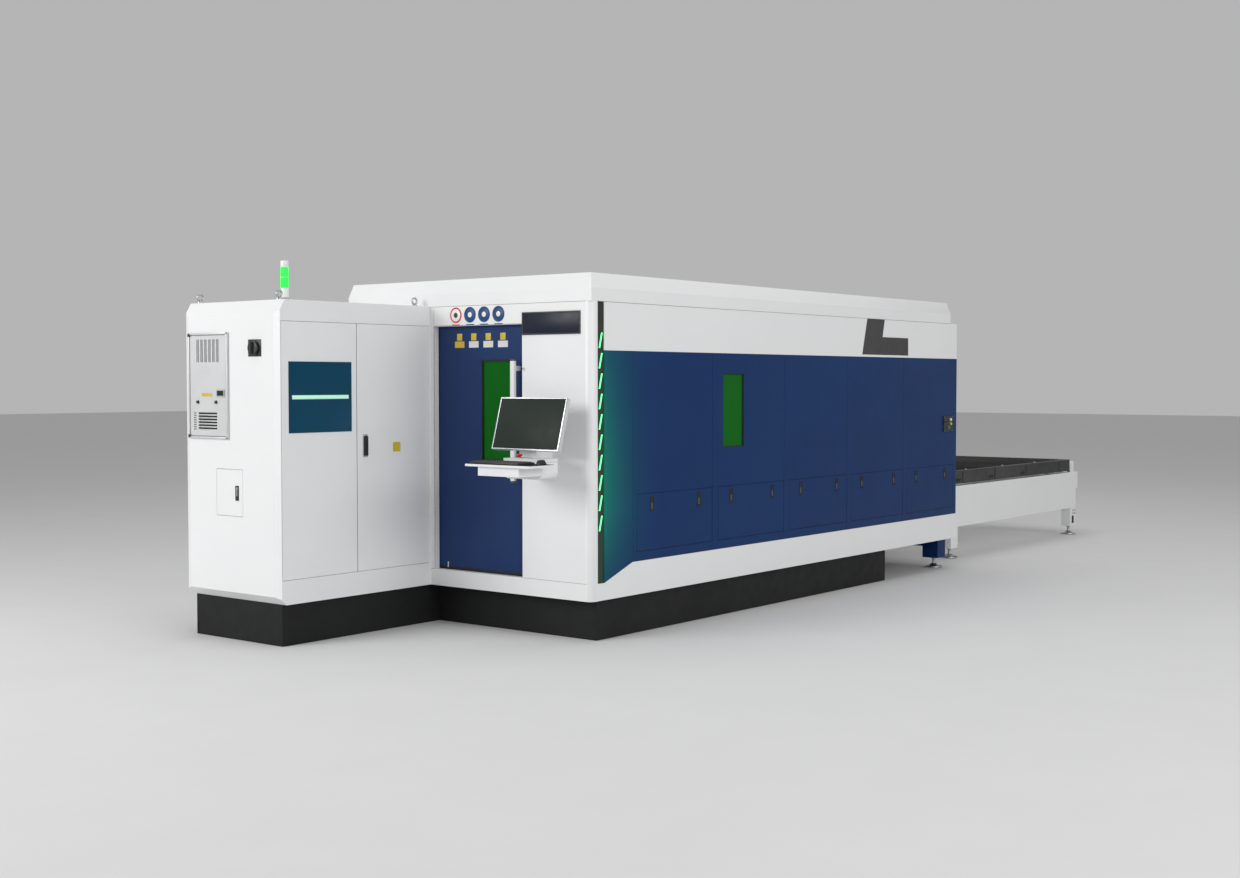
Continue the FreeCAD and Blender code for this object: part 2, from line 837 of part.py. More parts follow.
def cabinet_shell():
    """The cabinet: a folded box with bevelled outer edges, open in front for its doors."""
    foot = (CAB_WEST, "cab_y", "skirt_bottom")
    outside = prism(cabinet_outline("0"), foot, "cab_depth", label="cabinet_outside")
    inside = prism(cabinet_outline("cab_wall"), (CAB_WEST, "cab_y + cab_wall", "skirt_bottom"),
                   "cab_depth - 2 * cab_wall", label="cabinet_inside")
    outside_x = "0 - merge"
    near_edge = prism([(outside_x, "0 - merge"), ("cab_edge_run", "0 - merge"),
                       (outside_x, "cab_edge_depth")],
                      (CAB_WEST, "cab_y", "skirt_bottom - merge"), "cab_top", "XY_Plane", "near_edge")
    far_edge = prism([(outside_x, "merge"), ("cab_edge_run", "merge"), (outside_x, "0 - cab_edge_depth")],
                     (CAB_WEST, CAB_BACK, "skirt_bottom - merge"), "cab_top", "XY_Plane", "far_edge")
    side = (CAB_WEST + " - merge", CAB_WEST + " + cab_wall + merge")
    front = span((CAB_WEST + " + cab_frame", "0 - cab_jamb"), ("cab_y - merge", "cab_y + cab_wall + merge"),
                 ("cab_door_bottom", "cab_door_top"))
    air = span(side, ("air_y + air_rim", "air_y + air_width - air_rim"),
               ("air_bottom + air_rim", "air_bottom + air_height - air_rim"))
    hatch = span(side, ("hatch_y", "hatch_y + hatch_width"), ("hatch_bottom", "hatch_bottom + hatch_height"))
    return cut(outside, [inside, near_edge, far_edge, front, air, hatch], "cabinet_shell")


LATCH_AXIS_Z = "latch_bottom + latch_height - latch_width / 2"


def cabinet_doors():
    """The two doors of the cabinet, hinged at their outer edges."""
    height = "cab_door_top - cab_door_bottom"
    left = leaf(CAB_WEST + " + cab_frame", "cab_door_bottom", "cab_length - cab_frame - cab_seam", height,
                "cab_y",
                "cabinet_door_left")
    right = leaf("0 - cab_seam", "cab_door_bottom", "cab_seam - cab_jamb", height, "cab_y", "right_leaf")
    boss = cylinder("latch_width / 2 - latch_x", "cab_y - latch_gap", LATCH_AXIS_Z, "latch_boss",
                    "latch_gap + merge", "y")
    return [left, joined([right, boss], "cabinet_door_right")]


def door_latch():
    """The lever that locks the cabinet doors, turning about its upper end."""
    lever = box("0 - latch_x", "cab_y - latch_gap - latch_thick", "latch_bottom", "latch_width",
                "latch_thick",
                "latch_height - latch_width / 2")
    eye = cylinder("latch_width / 2 - latch_x", "cab_y - latch_gap - latch_thick", LATCH_AXIS_Z,
                   "latch_width / 2",
                   "latch_thick", "y")
    return joined([lever, eye], "door_latch")


SLOT_COUNT = 6
LOUVRE_COUNT = 6


def air_conditioner():
    """The cabinet's cooling unit: a rimmed front with slots above and louvres below, and its body inside."""
    face = CAB_WEST + " - air_proud"
    front = box(face, "air_y", "air_bottom", "air_proud", "air_width", "air_height")
    body = span((CAB_WEST + " - merge", CAB_WEST + " + air_depth"),
                ("air_y + air_rim", "air_y + air_width - air_rim"),
                ("air_bottom + air_rim", "air_bottom + air_height - air_rim"))
    slots = [box(face + " - merge", "air_y + slot_start + %d * slot_pitch" % n, "air_bottom + slot_bottom",
                 "vent_depth + merge", "slot_width", "slot_height") for n in range(SLOT_COUNT)]
    louvres = [box(face + " - merge", "air_y + louvre_start",
                   "air_bottom + louvre_bottom + %d * louvre_pitch" % n,
                   "vent_depth + merge", "louvre_width", "louvre_height") for n in range(LOUVRE_COUNT)]
    return cut(joined([front, body]), slots + louvres, "air_conditioner")


def cabinet_hatch():
    """The small service hatch in the cabinet's outer side, hinged at its far edge."""
    skin = span((CAB_WEST, CAB_WEST + " + leaf_skin"),
                ("hatch_y + leaf_gap", "hatch_y + hatch_width - leaf_gap"),
                ("hatch_bottom + leaf_gap", "hatch_bottom + hatch_height - leaf_gap"))
    tray = span((CAB_WEST + " + leaf_skin - merge", CAB_WEST + " + leaf_skin + leaf_stiffener"),
                ("hatch_y + leaf_inset", "hatch_y + hatch_width - leaf_inset"),
                ("hatch_bottom + leaf_inset", "hatch_bottom + hatch_height - leaf_inset"))
    return joined([skin, tray], "cabinet_hatch")


def isolator_knob():
    """The rotary mains switch: a round knob with a raised grip."""
    face = "0 - cab_length - isolator_gap - isolator_proud"
    disc = cylinder(face + " + isolator_disc", "isolator_y", "isolator_height", "isolator_radius",
                    "isolator_proud - isolator_disc", "x")
    grip = span((face, face + " + isolator_disc + merge"),
                ("isolator_y - isolator_grip / 2", "isolator_y + isolator_grip / 2"),
                ("isolator_height - isolator_grip_reach", "isolator_height + isolator_grip_reach"))
    return joined([disc, grip], "isolator_knob")


# How far each row of switchgear stands out from the cabinet's back, and its lower and upper edges.
GEAR_ROWS = (("120", "1620", "1780"), ("110", "1360", "1500"), ("190", "860", "1220"))


def electrical_panel():
    """The mounting plate at the back of the cabinet with its rows of switchgear."""
    back = CAB_BACK + " - cab_wall"
    west, east = CAB_WEST + " + gear_west", "0 - gear_east"
    rear, front = back + " - gear_stand", back + " - gear_stand - gear_plate"
    pieces = [span((west, east), (front, rear), ("gear_bottom", "gear_top"), "gear_plate")]
    for x in (west + " + gear_margin", east + " - gear_margin - gear_stay"):
        pieces.append(span((x, x + " + gear_stay"), (rear, back),
                           ("gear_bottom + gear_margin", "gear_top - gear_margin"), "gear_stay"))
    for depth, low, high in GEAR_ROWS:
        pieces.append(span((west + " + gear_margin", east + " - gear_margin"), (back + " - " + depth, front),
                           (low, high), "gear_row"))
    return group(pieces, "electrical_panel")


def laser_source():
    """The fibre laser's light source standing on the cabinet's floor."""
    west = "0 - source_east - source_length"
    floor = "skirt_bottom + cab_wall"
    case = box(west, "cab_y + source_setback", floor, "source_length", "source_depth", "source_height",
               "case")
    front = box(west + " + source_margin", "cab_y + source_setback - source_front", floor + " + source_front",
                "source_length - 2 * source_margin", "source_front + merge",
                "source_height - 2 * source_front")
    return joined([case, front], "laser_source")


def lifting_eyes():
    """The four eye bolts on the cabinet's roof."""
    eyes = []
    for x in (CAB_WEST + " + cab_top_run + eye_base", "0 - eye_inset"):
        for y in ("cab_y + eye_inset", CAB_BACK + " - eye_inset"):
            base = cylinder(x, y, "cab_top", "eye_base", "eye_foot")
            ring = doc.addObject("Part::Torus", "ring")
            turn(ring, (1, 0, 0), 90)
            bind(ring, Radius1="eye_radius", Radius2="eye_wire")
            place(ring, x, y, "cab_top + eye_foot - eye_sink + eye_radius + eye_wire")
            eyes.append(joined([base, ring]))
    return group(eyes, "lifting_eyes")


def tower_pole():
    """The white pole of the signal light on its round foot."""
    foot = cylinder("0 - tower_x", "tower_y", "cab_top", "tower_base_radius", "tower_base")
    pole = cylinder("0 - tower_x", "tower_y", "cab_top", "tower_pole_radius", "tower_base + tower_pole")
    return joined([foot, pole], "tower_pole")


def tower_lens():
    """The green lens of the signal light with its cap."""
    return cylinder("0 - tower_x", "tower_y", "cab_top + tower_base + tower_pole", "tower_lens_radius",
                    "tower_lens",
                    label="tower_lens")


# ---------------------------------------------------------------- operator console

CONSOLE_NEAR = "console_y - console_width / 2"
CONSOLE_FAR = "console_y + console_width / 2"


def console_housing():
    """The console's housing: a deck with rounded lower edges, held off the wall by a narrower arm."""
    arm = span(("0 - console_depth", "0"), (CONSOLE_FAR + " - arm_width", CONSOLE_FAR),
               ("console_bottom", "console_top"))
    deck_x = ("0 - deck_reach", "merge - console_depth")
    deck = span(deck_x, (CONSOLE_NEAR, CONSOLE_FAR), ("console_bottom + console_round", "deck_top"))
    pieces = [arm, deck]
    for y in (CONSOLE_NEAR + " + console_round", CONSOLE_FAR + " - console_round"):
        pieces.append(cylinder("0 - deck_reach", y, "console_bottom + console_round", "console_round",
                               "deck_reach - console_depth + merge", "x"))
    pieces.append(span(deck_x, (CONSOLE_NEAR + " + console_round", CONSOLE_FAR + " - console_round"),
                       ("console_bottom", "console_bottom + console_round + merge")))
    stem_hole = cylinder("0 - estop_x", "estop_y", "deck_top - estop_seat", "estop_stem + estop_stem_gap",
                         "estop_seat + merge")
    return cut(joined(pieces), [stem_hole], "console_housing")


def console_post():
    """The post on the console's deck with the fork that carries the screen's hinge pin."""
    low = "console_y - post_width / 2"
    post = span(("0 - post_x - post_depth / 2", "0 - post_x + post_depth / 2"), (low, low + " + post_width"),
                ("deck_top", "post_top"))
    bore = cylinder("0 - post_x", low + " - merge", "tilt_height", "tilt_radius + tilt_gap",
                    "post_width + 2 * merge", "y")
    return cut(post, [bore], "console_post")


def monitor():
    """The flat screen, leaning back, with two ears and the hinge pin through the post."""
    case = doc.addObject("Part::Box", "case")
    bind(case, Length="screen_thick", Width="screen_width", Height="screen_height")
    turn(case, (0, 1, 0), SIZES["screen_lean"])
    case.setExpression("Placement.Rotation.Angle", bound("screen_lean"))
    place(case, "0 - screen_front", "console_y - screen_width / 2", "screen_bottom")
    ear_reach = "(post_width / 2 + ear_gap)"
    pin = cylinder("0 - post_x", "console_y - ear_width - " + ear_reach, "tilt_height", "tilt_radius",
                   "post_width + 2 * (ear_gap + ear_width)", "y")
    ears = [span(("0 - post_x - ear_front", "0 - post_x + ear_back"), (y, y + " + ear_width"),
                 ("tilt_height - ear_half_height", "tilt_height + ear_half_height"))
            for y in ("console_y - ear_width - " + ear_reach, "console_y + " + ear_reach)]
    return joined([case, pin] + ears, "monitor")


def keyboard_tray():
    """The keyboard shelf and the box that carries it from the deck."""
    shelf = box("0 - tray_front", "console_y - tray_width / 2", "tray_top - tray_thick",
                "tray_front - deck_reach",
                "tray_width", "tray_thick")
    carrier = box("carrier_inset - tray_front", "console_y - carrier_side", "tray_top - carrier_drop",
                  "tray_front - deck_reach - carrier_inset", "carrier_width", "carrier_height")
    return joined([shelf, carrier], "keyboard_tray")


def keyboard():
    """A sealed membrane keyboard lying on the shelf."""
    return box("0 - key_front", "console_y - key_width / 2 + key_shift", "tray_top", "key_depth", "key_width",
               "key_thick", "keyboard")


def estop_button():
    """The red mushroom button on the console's deck."""
    stem = cylinder("0 - estop_x", "estop_y", "deck_top - estop_seat + estop_rise / 2", "estop_stem",
                    "estop_seat + estop_rise / 2 + merge")
    head = cylinder("0 - estop_x", "estop_y", "deck_top + estop_rise", "estop_radius", "estop_head")
    return joined([stem, head], "estop_button")


# ---------------------------------------------------------------- gantry and cutting head

def x_rails():
    """The linear rails on the bed's beams and the gear racks beside them."""
    bars = []
    for middle, rack in (("bed_gap + bed_beam / 2", "bed_gap + bed_beam - rack_width"),
                         ("enc_width - bed_gap - bed_beam / 2", "enc_width - bed_gap - bed_beam")):
        x = ("bed_start + rail_near_end", BED_END + " - rail_far_end")
        bars.append(span(x, (middle + " - rail_width / 2", middle + " + rail_width / 2"),
                         ("bed_top", RAIL_TOP)))
        bars.append(span(x, (rack, rack + " + rack_width"), ("bed_top", "bed_top + rack_height")))
    return group(bars, "x_rails")


def gantry_beam():
    """The welded hollow beam across the bed, with the two linear rails of the carriage on its face."""
    y = ("gantry_wall_gap", "enc_width - gantry_wall_gap")
    outside = span((GANTRY_WEST, GANTRY_FACE), y, (GANTRY_BOTTOM, GANTRY_BOTTOM + " + gantry_height"))
    inside = span((GANTRY_WEST + " + gantry_plate", GANTRY_FACE + " - gantry_plate"),
                  (y[0] + " - merge", y[1] + " + merge"),
                  (GANTRY_BOTTOM + " + gantry_plate", GANTRY_BOTTOM + " + gantry_height - gantry_plate"))
    rails = [span((GANTRY_FACE + " - merge", GANTRY_FACE + " + guide_proud"),
                  (y[0] + " + guide_inset", y[1] + " - guide_inset"), (z, z + " + guide_height"))
             for z in (GANTRY_BOTTOM + " + guide_low", GANTRY_BOTTOM + " + gantry_height - guide_high")]
    return joined([cut(outside, [inside])] + rails, "gantry_beam")


def carriage():
    """The carriage that rides along the gantry and carries the head's upright slide."""
    x = (GANTRY_FACE + " + guide_proud + guide_gap", GANTRY_FACE + " + carriage_depth")
    y = (AXIS_Y + " - carriage_width / 2", AXIS_Y + " + carriage_width / 2")
    return span(x, y, ("carriage_bottom", "carriage_bottom + carriage_height"), "carriage")


def cutting_head():
    """The cutting head: a slide plate, the round optics barrel, its taper and the nozzle."""
    top = "nozzle_z + nozzle_length + head_taper"
    nozzle = cone("nozzle_x", AXIS_Y, "nozzle_z", "nozzle_tip", "nozzle_radius", "nozzle_length")
    taper = cone("nozzle_x", AXIS_Y, "nozzle_z + nozzle_length", "nozzle_radius", "head_radius", "head_taper")
    barrel = cylinder("nozzle_x", AXIS_Y, top, "head_radius", "head_height")
    slide = span(("nozzle_x - head_offset + carriage_depth + head_gap", "nozzle_x"),
                 (AXIS_Y + " - slide_width / 2", AXIS_Y + " + slide_width / 2"),
                 (top + " + slide_low", top + " + head_height - slide_high"))
    return joined([nozzle, taper, barrel, slide], "cutting_head")


# ---------------------------------------------------------------- pallet changer

def pallet_tracks():
    """The upper and lower track ledges inside the machine, on the bed's beams."""
    ledges = []
    for top in ("upper_track", "lower_track"):
        for y in ((BED_INSIDE[0], BEAM_NEAR + " + track_reach"),
                  (BEAM_FAR + " - track_reach", BED_INSIDE[1])):
            ledges.append(span(("track_start", BED_END), y, (top + " - track_thick", top)))
    return group(ledges, "pallet_tracks")


def table_beam(web, flange_y, stop_y, label):
    """One side of the table: a channel whose top and middle ledges carry the pallets, with its end stop."""
    x = (TABLE_WEST, BEAM_EAST)
    members = [span(x, web, ("table_bottom", "upper_track"), "web")]
    for top in ("upper_track", "lower_track", "table_bottom + track_thick"):
        members.append(span(x, flange_y, (top + " - track_thick", top), "ledge"))
    outline = [
        ("0", "0"), ("stop_length", "0"), ("stop_length", "stop_height"),
        ("stop_length * stop_crest", "stop_height"),
    ]
    members.append(prism(outline, (PALLET_EAST + " + stop_gap", stop_y, "upper_track"), "stop_width",
                         label="stop"))
    return group(members, label)


def table_beams():
    """The near and far sides of the exchange table."""
    near = table_beam((BEAM_NEAR, PALLET_NEAR), (PALLET_NEAR, BEAM_NEAR + " + track_reach"), BEAM_NEAR,
                      "table_beam_near")
    far = table_beam((PALLET_FAR, BEAM_FAR), (BEAM_FAR + " - track_reach", PALLET_FAR),
                     BEAM_FAR + " - stop_width",
                     "table_beam_far")
    return [near, far]


def table_end_beam():
    """The box across the table's far end."""
    return span((BEAM_EAST, "table_end"), (BEAM_NEAR, BEAM_FAR), ("end_beam_bottom", "upper_track"),
                "table_end_beam")


def table_legs():
    """The four legs of the exchange table; the end pair also props the end box."""
    legs = []
    for y in (BEAM_NEAR, BEAM_FAR + " - leg_depth"):
        legs.append(box("inner_leg_x", y, "foot_height", "leg_length", "leg_depth",
                        "table_bottom - foot_height"))
        lower = box(END_LEG_X, y, "foot_height", "leg_length", "leg_depth", "table_bottom - foot_height")
        riser = span((BEAM_EAST, "table_end - end_leg_inset"), (y, y + " + leg_depth"),
                     ("table_bottom - merge", "end_beam_bottom"))
        legs.append(joined([lower, riser]))
    return group(legs, "table_legs")


def wheel_lines(west):
    """Where a pallet's two axles stand along the machine."""
    return (west + " + axle_setback", west + " + pallet_length - axle_setback")


def pallet(track, west, label):
    """One pallet: a frame of bars, bored for its axles, and its upright cutting slats."""
    low = track + " + pallet_lift"
    high = low + " + pallet_frame"
    x, y = (west, west + " + pallet_length"), (PALLET_NEAR, PALLET_FAR)
    inside_y = (y[0] + " + pallet_bar", y[1] + " - pallet_bar")
    bores = [cylinder(line, PALLET_NEAR + " + pallet_bar - axle_seat", track + " + tread_gap + wheel_radius",
                      "axle_radius + axle_clearance", "pallet_width - 2 * (pallet_bar - axle_seat)", "y")
             for line in wheel_lines(west)]
    bars = [cut(span(x, side, (low, high)), bores) for side in ((y[0], inside_y[0]), (inside_y[1], y[1]))]
    bars += [span(end, inside_y, (low, high), "cross_bar")
             for end in ((x[0], x[0] + " + pallet_bar"), (x[1] + " - pallet_bar", x[1]))]
    pitch = "(pallet_length - 2 * pallet_bar) / (slat_count + 1)"
    slats = []
    for number in range(int(SIZES["slat_count"])):
        start = "%s + pallet_bar + %d * %s - slat_thick / 2" % (west, number + 1, pitch)
        slats.append(box(start, inside_y[0], high + " + slat_rise - slat_height",
                         "slat_thick", "pallet_width - 2 * pallet_bar", "slat_height", "slat"))
    return group(bars + slats, label)


def wheelset(track, line, label):
    """One axle across a pallet with its two wheels."""
    height = track + " + tread_gap + wheel_radius"
    seat = PALLET_NEAR + " + pallet_bar - axle_seat + axle_end_gap"
    axle = cylinder(line, seat, height, "axle_radius",
                    "pallet_width - 2 * (pallet_bar - axle_seat + axle_end_gap)", "y")
    wheels = [cylinder(line, y, height, "wheel_radius", "wheel_width", "y")
              for y in (PALLET_NEAR + " + pallet_bar + wheel_gap",
                        PALLET_FAR + " - pallet_bar - wheel_gap - wheel_width")]
    return joined([axle] + wheels, label)


def pallets():
    """The upper pallet on the table, the lower one in the machine, and their axles."""
    inside = PALLET_WEST + " - pallet_travel"
    pieces = []
    for name, track, west in (("upper", "upper_track", PALLET_WEST), ("lower", "lower_track", inside)):
        pieces.append(pallet(track, west, name + "_pallet"))
        for end, line in zip(("inner", "outer"), wheel_lines(west)):
            pieces.append(wheelset(track, line, "%s_%s_wheelset" % (name, end)))
    return pieces


# ---------------------------------------------------------------- all the pieces, and their files

PARTS = [
    plinth(), bed_frame(), levelling_feet(), scrap_tray(),
    end_wall(), exit_wall(), side_upper_band(), side_blue_panel(), side_skirt(), light_channel(),
    rear_wall(), rear_blue_panel(), hood(), side_window(), *access_panels(),
    operator_door(), door_window(), door_handle(), station_plate(), *station_buttons(),
    cabinet_shell(), *cabinet_doors(), door_latch(), air_conditioner(), cabinet_hatch(), isolator_knob(),
    electrical_panel(), laser_source(), lifting_eyes(), tower_pole(), tower_lens(),
    console_housing(), console_post(), monitor(), keyboard_tray(), keyboard(), estop_button(),
    x_rails(), gantry_beam(), carriage(), cutting_head(),
    pallet_tracks(), *table_beams(), table_end_beam(), table_legs(), *pallets(),
]
doc.recompute()

for item in doc.Objects:
    if "Invalid" in item.State or "Error" in item.State:
        raise RuntimeError("%s did not compute: %s" % (item.Label, item.State))
for item in PARTS:
    if item.Shape.isNull() or not item.Shape.isValid():
        raise RuntimeError("%s has no valid shape" % item.Label)

os.makedirs("parts", exist_ok=True)
for item in PARTS:
    item.Shape.exportStep("parts/%s.step" % item.Label)
    print("%-24s %d solids  %.4f m3" % (item.Label, len(item.Shape.Solids), item.Shape.Volume / 1e9))
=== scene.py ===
"""Dressed model of a fiber laser cutting machine: enclosure, cabinet, console, gantry and pallet changer.

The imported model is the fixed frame.  Every added piece is modelled in metres where the frame says, rides on
one of its bodies and gets a finish of its own.  Places are counted from the enclosure's near foot corner:
along the machine, across it and up.
"""
import json
import logging
import math
from collections.abc import Iterable
from dataclasses import dataclass
from enum import Enum

import bpy
from bpy.types import Material, Node, NodeSocket, Object
from mathutils import Matrix, Vector


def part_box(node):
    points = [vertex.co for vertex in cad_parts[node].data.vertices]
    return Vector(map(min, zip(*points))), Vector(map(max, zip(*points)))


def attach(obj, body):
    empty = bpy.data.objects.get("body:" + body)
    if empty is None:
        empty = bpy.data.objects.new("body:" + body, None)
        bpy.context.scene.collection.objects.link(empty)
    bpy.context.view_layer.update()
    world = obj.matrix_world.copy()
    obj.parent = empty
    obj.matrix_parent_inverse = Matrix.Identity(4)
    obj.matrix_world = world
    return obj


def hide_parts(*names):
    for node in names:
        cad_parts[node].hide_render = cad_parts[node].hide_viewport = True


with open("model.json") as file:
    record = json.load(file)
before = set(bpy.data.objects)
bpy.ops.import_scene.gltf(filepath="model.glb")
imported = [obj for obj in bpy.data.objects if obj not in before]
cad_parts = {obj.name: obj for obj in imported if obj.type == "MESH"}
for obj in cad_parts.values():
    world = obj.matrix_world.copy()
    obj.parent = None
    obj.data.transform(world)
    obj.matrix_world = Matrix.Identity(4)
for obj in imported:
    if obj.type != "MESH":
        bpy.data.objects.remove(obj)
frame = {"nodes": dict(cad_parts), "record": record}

logging.basicConfig(level=logging.INFO, format="%(message)s")
LOG = logging.getLogger("laser_cutter")

Triple = tuple[float, float, float]
Span = tuple[float, float]

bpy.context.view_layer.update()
MACHINE = "machine"
CORNER = Vector((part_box("end_wall")[0].x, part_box("end_wall")[0].y, 0.0))
NORTH = Vector((0.0, 1.0, 0.0))
EAST = Vector((1.0, 0.0, 0.0))
UP = Vector((0.0, 0.0, 1.0))


# ---------------------------------------------------------------- finishes


class Recipe:
    """The node tree of one material, with short ways to add nodes and join them."""

    def __init__(self, name: str) -> None:
        """Start a material of that name around a principled shader."""
        self.material = bpy.data.materials.new(name)
        self.material.use_nodes = True
        self.tree = self.material.node_tree
        self.shader = self.tree.nodes["Principled BSDF"]

    def add(self, kind: str, **settings: object) -> Node:
        """Add a shader node of one kind and set its options."""
        node = self.tree.nodes.new("ShaderNode" + kind)
        for name, value in settings.items():
            setattr(node, name, value)
        return node

    def join(self, source: NodeSocket, target: NodeSocket) -> None:
        """Lead one socket into another."""
        self.tree.links.new(source, target)

    def place(self, stretch: Triple = (1.0, 1.0, 1.0)) -> NodeSocket:
        """Give the place on the piece, stretched along each axis."""
        mapping = self.add("Mapping")
        mapping.inputs["Scale"].default_value = stretch
        self.join(self.add("TexCoord").outputs["Object"], mapping.inputs["Vector"])
        return mapping.outputs["Vector"]

    def noise(self, place: NodeSocket, scale: float, detail: float = 3.0) -> NodeSocket:
        """Give a soft random pattern of that scale."""
        node = self.add("TexNoise")
        node.inputs["Scale"].default_value = scale
        node.inputs["Detail"].default_value = detail
        self.join(place, node.inputs["Vector"])
        return node.outputs["Fac"]

    def ramp(self, factor: NodeSocket, first: Triple, last: Triple, spread: Span = (0.3, 0.7)) -> NodeSocket:
        """Give a colour that runs from the first to the last with a factor.

        Args:
            factor: the socket that drives the colour.
            first: the colour up to the start of the spread.
            last: the colour from the end of the spread.
            spread: where the change starts and ends.

        Returns:
            The colour socket.
        """
        node = self.add("ValToRGB")
        for element, colour, at in zip(node.color_ramp.elements, (first, last), spread):
            element.color = (*colour, 1.0)
            element.position = at
        self.join(factor, node.inputs["Fac"])
        return node.outputs["Color"]

    def band(self, factor: NodeSocket, source: Span, target: Span) -> NodeSocket:
        """Give a factor moved from one range of numbers to another, and held inside it."""
        node = self.add("MapRange")
        for name, value in zip(("From Min", "From Max", "To Min", "To Max"), (*source, *target)):
            node.inputs[name].default_value = value
        self.join(factor, node.inputs["Value"])
        return node.outputs["Result"]

    def math(self, operation: str, first: NodeSocket, second: NodeSocket | float) -> NodeSocket:
        """Give the result of one arithmetic step on two numbers."""
        node = self.add("Math", operation=operation)
        self.join(first, node.inputs[0])
        if isinstance(second, float):
            node.inputs[1].default_value = second
        else:
            self.join(second, node.inputs[1])
        return node.outputs["Value"]

    def relief(self, height: NodeSocket, strength: float, depth: float) -> None:
        """Raise and sink the surface a little by a pattern."""
        node = self.add("Bump")
        node.inputs["Strength"].default_value = strength
        node.inputs["Distance"].default_value = depth
        self.join(height, node.inputs["Height"])
        self.join(node.outputs["Normal"], self.shader.inputs["Normal"])


MADE: dict[str, Material] = {}


@dataclass(frozen=True)
class Finish:
    """A surface finish: colour, gloss and fine relief, and the record's slot it belongs to."""

    name: str
    slot: str
    colour: Triple
    roughness: float = 0.42
    metallic: float = 0.0
    coat: float = 0.0
    gloss: float = 0.5
    drift: float = 0.05
    grain: float = 700.0
    depth: float = 0.00012
    stretch: Triple = (1.0, 1.0, 1.0)

    def material(self) -> Material:
        """Give this finish's material, mixed once and then shared."""
        if self.name not in MADE:
            recipe = Recipe(self.name)
            self.mix(recipe)
            MADE[self.name] = recipe.material
        return MADE[self.name]

    def mix(self, recipe: Recipe) -> None:
        """Set the shader: a drifting colour, uneven gloss and a fine skin."""
        place = recipe.place(self.stretch)
        broad = recipe.noise(place, 2.2, 4.0)
        darker = tuple(channel * (1.0 - self.drift) for channel in self.colour)
        lighter = tuple(channel * (1.0 + self.drift) for channel in self.colour)
        recipe.join(recipe.ramp(broad, darker, lighter), recipe.shader.inputs["Base Color"])
        recipe.shader.inputs["Metallic"].default_value = self.metallic
        recipe.shader.inputs["Coat Weight"].default_value = self.coat
        recipe.shader.inputs["Coat Roughness"].default_value = 0.12
        recipe.shader.inputs["Specular IOR Level"].default_value = self.gloss
        fine = recipe.noise(place, self.grain, 2.0)
        smudge = recipe.noise(place, 14.0, 3.0)
        sheen = recipe.band(smudge, (0.3, 0.7), (self.roughness * 0.88, self.roughness * 1.12))
        recipe.join(sheen, recipe.shader.inputs["Roughness"])
        recipe.relief(fine, 0.35, self.depth)


@dataclass(frozen=True)
class PaintWithPaintedGlow(Finish):
    """Paint with painted light at its near end: the light bars' green light, painted into its emission."""

    painted_glow: Triple = (0.0, 0.13, 0.026)
    reach: float = 0.70
    fade: float = 3.6
    start: float = 0.12
    foot: Span = (0.36, 0.80)
    crown: Span = (1.05, 1.74)
    dusk: float = 0.45

    def mix(self, recipe: Recipe) -> None:
        """Mix the paint and add the painted green light along the machine."""
        super().mix(recipe)
        split = recipe.add("SeparateXYZ")
        recipe.join(recipe.place(), split.inputs["Vector"])
        # painted light: the bars' green light in the emission, fading along the machine and dimmed at the
        # foot and the top
        near = CORNER.x + self.start
        wash = recipe.band(split.outputs["X"], (near, near + self.reach), (1.0, 0.0))
        falling = recipe.math("POWER", wash, self.fade)
        rising = recipe.band(split.outputs["Z"], self.foot, (0.25, 1.0))
        dimming = recipe.band(split.outputs["Z"], self.crown, (1.0, self.dusk))
        upright = recipe.math("MULTIPLY", rising, dimming)
        both = recipe.math("MULTIPLY", falling, upright)
        recipe.join(recipe.ramp(both, (0.0, 0.0, 0.0), self.painted_glow, (0.0, 1.0)),
                    recipe.shader.inputs["Emission Color"])
        recipe.shader.inputs["Emission Strength"].default_value = 1.0


@dataclass(frozen=True)
class ChannelWithPaintedLight(Finish):
    """Black channel whose lower part carries painted light: the bars' green light, painted into its emission.
    """

    painted_glow: Triple = (0.0005, 0.016, 0.003)
    lit: Span = (1.93, 1.82)

    def mix(self, recipe: Recipe) -> None:
        """Mix the black and add the painted green light below the first bar."""
        super().mix(recipe)
        split = recipe.add("SeparateXYZ")
        recipe.join(recipe.place(), split.inputs["Vector"])
        tint = recipe.band(split.outputs["Z"], self.lit, (0.0, 1.0))
        recipe.join(recipe.ramp(tint, (0.0, 0.0, 0.0), self.painted_glow, (0.0, 1.0)),
                    recipe.shader.inputs["Emission Color"])
        recipe.shader.inputs["Emission Strength"].default_value = 1.0


@dataclass(frozen=True)
class Lamp(Finish):
    """A lit diffuser."""

    strength: float = 1.0

    def mix(self, recipe: Recipe) -> None:
        """Mix the diffuser and light it, a little unevenly."""
        super().mix(recipe)
        flicker = recipe.noise(recipe.place(), 40.0, 1.0)
        dim = tuple(channel * 0.9 for channel in self.colour)
        recipe.join(recipe.ramp(flicker, dim, self.colour), recipe.shader.inputs["Emission Color"])
        recipe.shader.inputs["Emission Strength"].default_value = self.strength


@dataclass(frozen=True)
class Pane(Finish):
    """Laser-safe acrylic: deep colour, smooth and slightly clear."""

    clear: float = 0.12

    def mix(self, recipe: Recipe) -> None:
        """Mix the acrylic."""
        super().mix(recipe)
        recipe.shader.inputs["Transmission Weight"].default_value = self.clear


@dataclass(frozen=True)
class Spangled(Finish):
    """Galvanised steel with its zinc crystals."""

    crystal: float = 60.0

    def mix(self, recipe: Recipe) -> None:
        """Mix the steel with patches of differing grey."""
        super().mix(recipe)
        cells = recipe.add("TexVoronoi")
        cells.inputs["Scale"].default_value = self.crystal
        recipe.join(recipe.place(), cells.inputs["Vector"])
        darker = tuple(channel * 0.72 for channel in self.colour)
        recipe.join(recipe.ramp(cells.outputs["Color"], darker, self.colour),
                    recipe.shader.inputs["Base Color"])


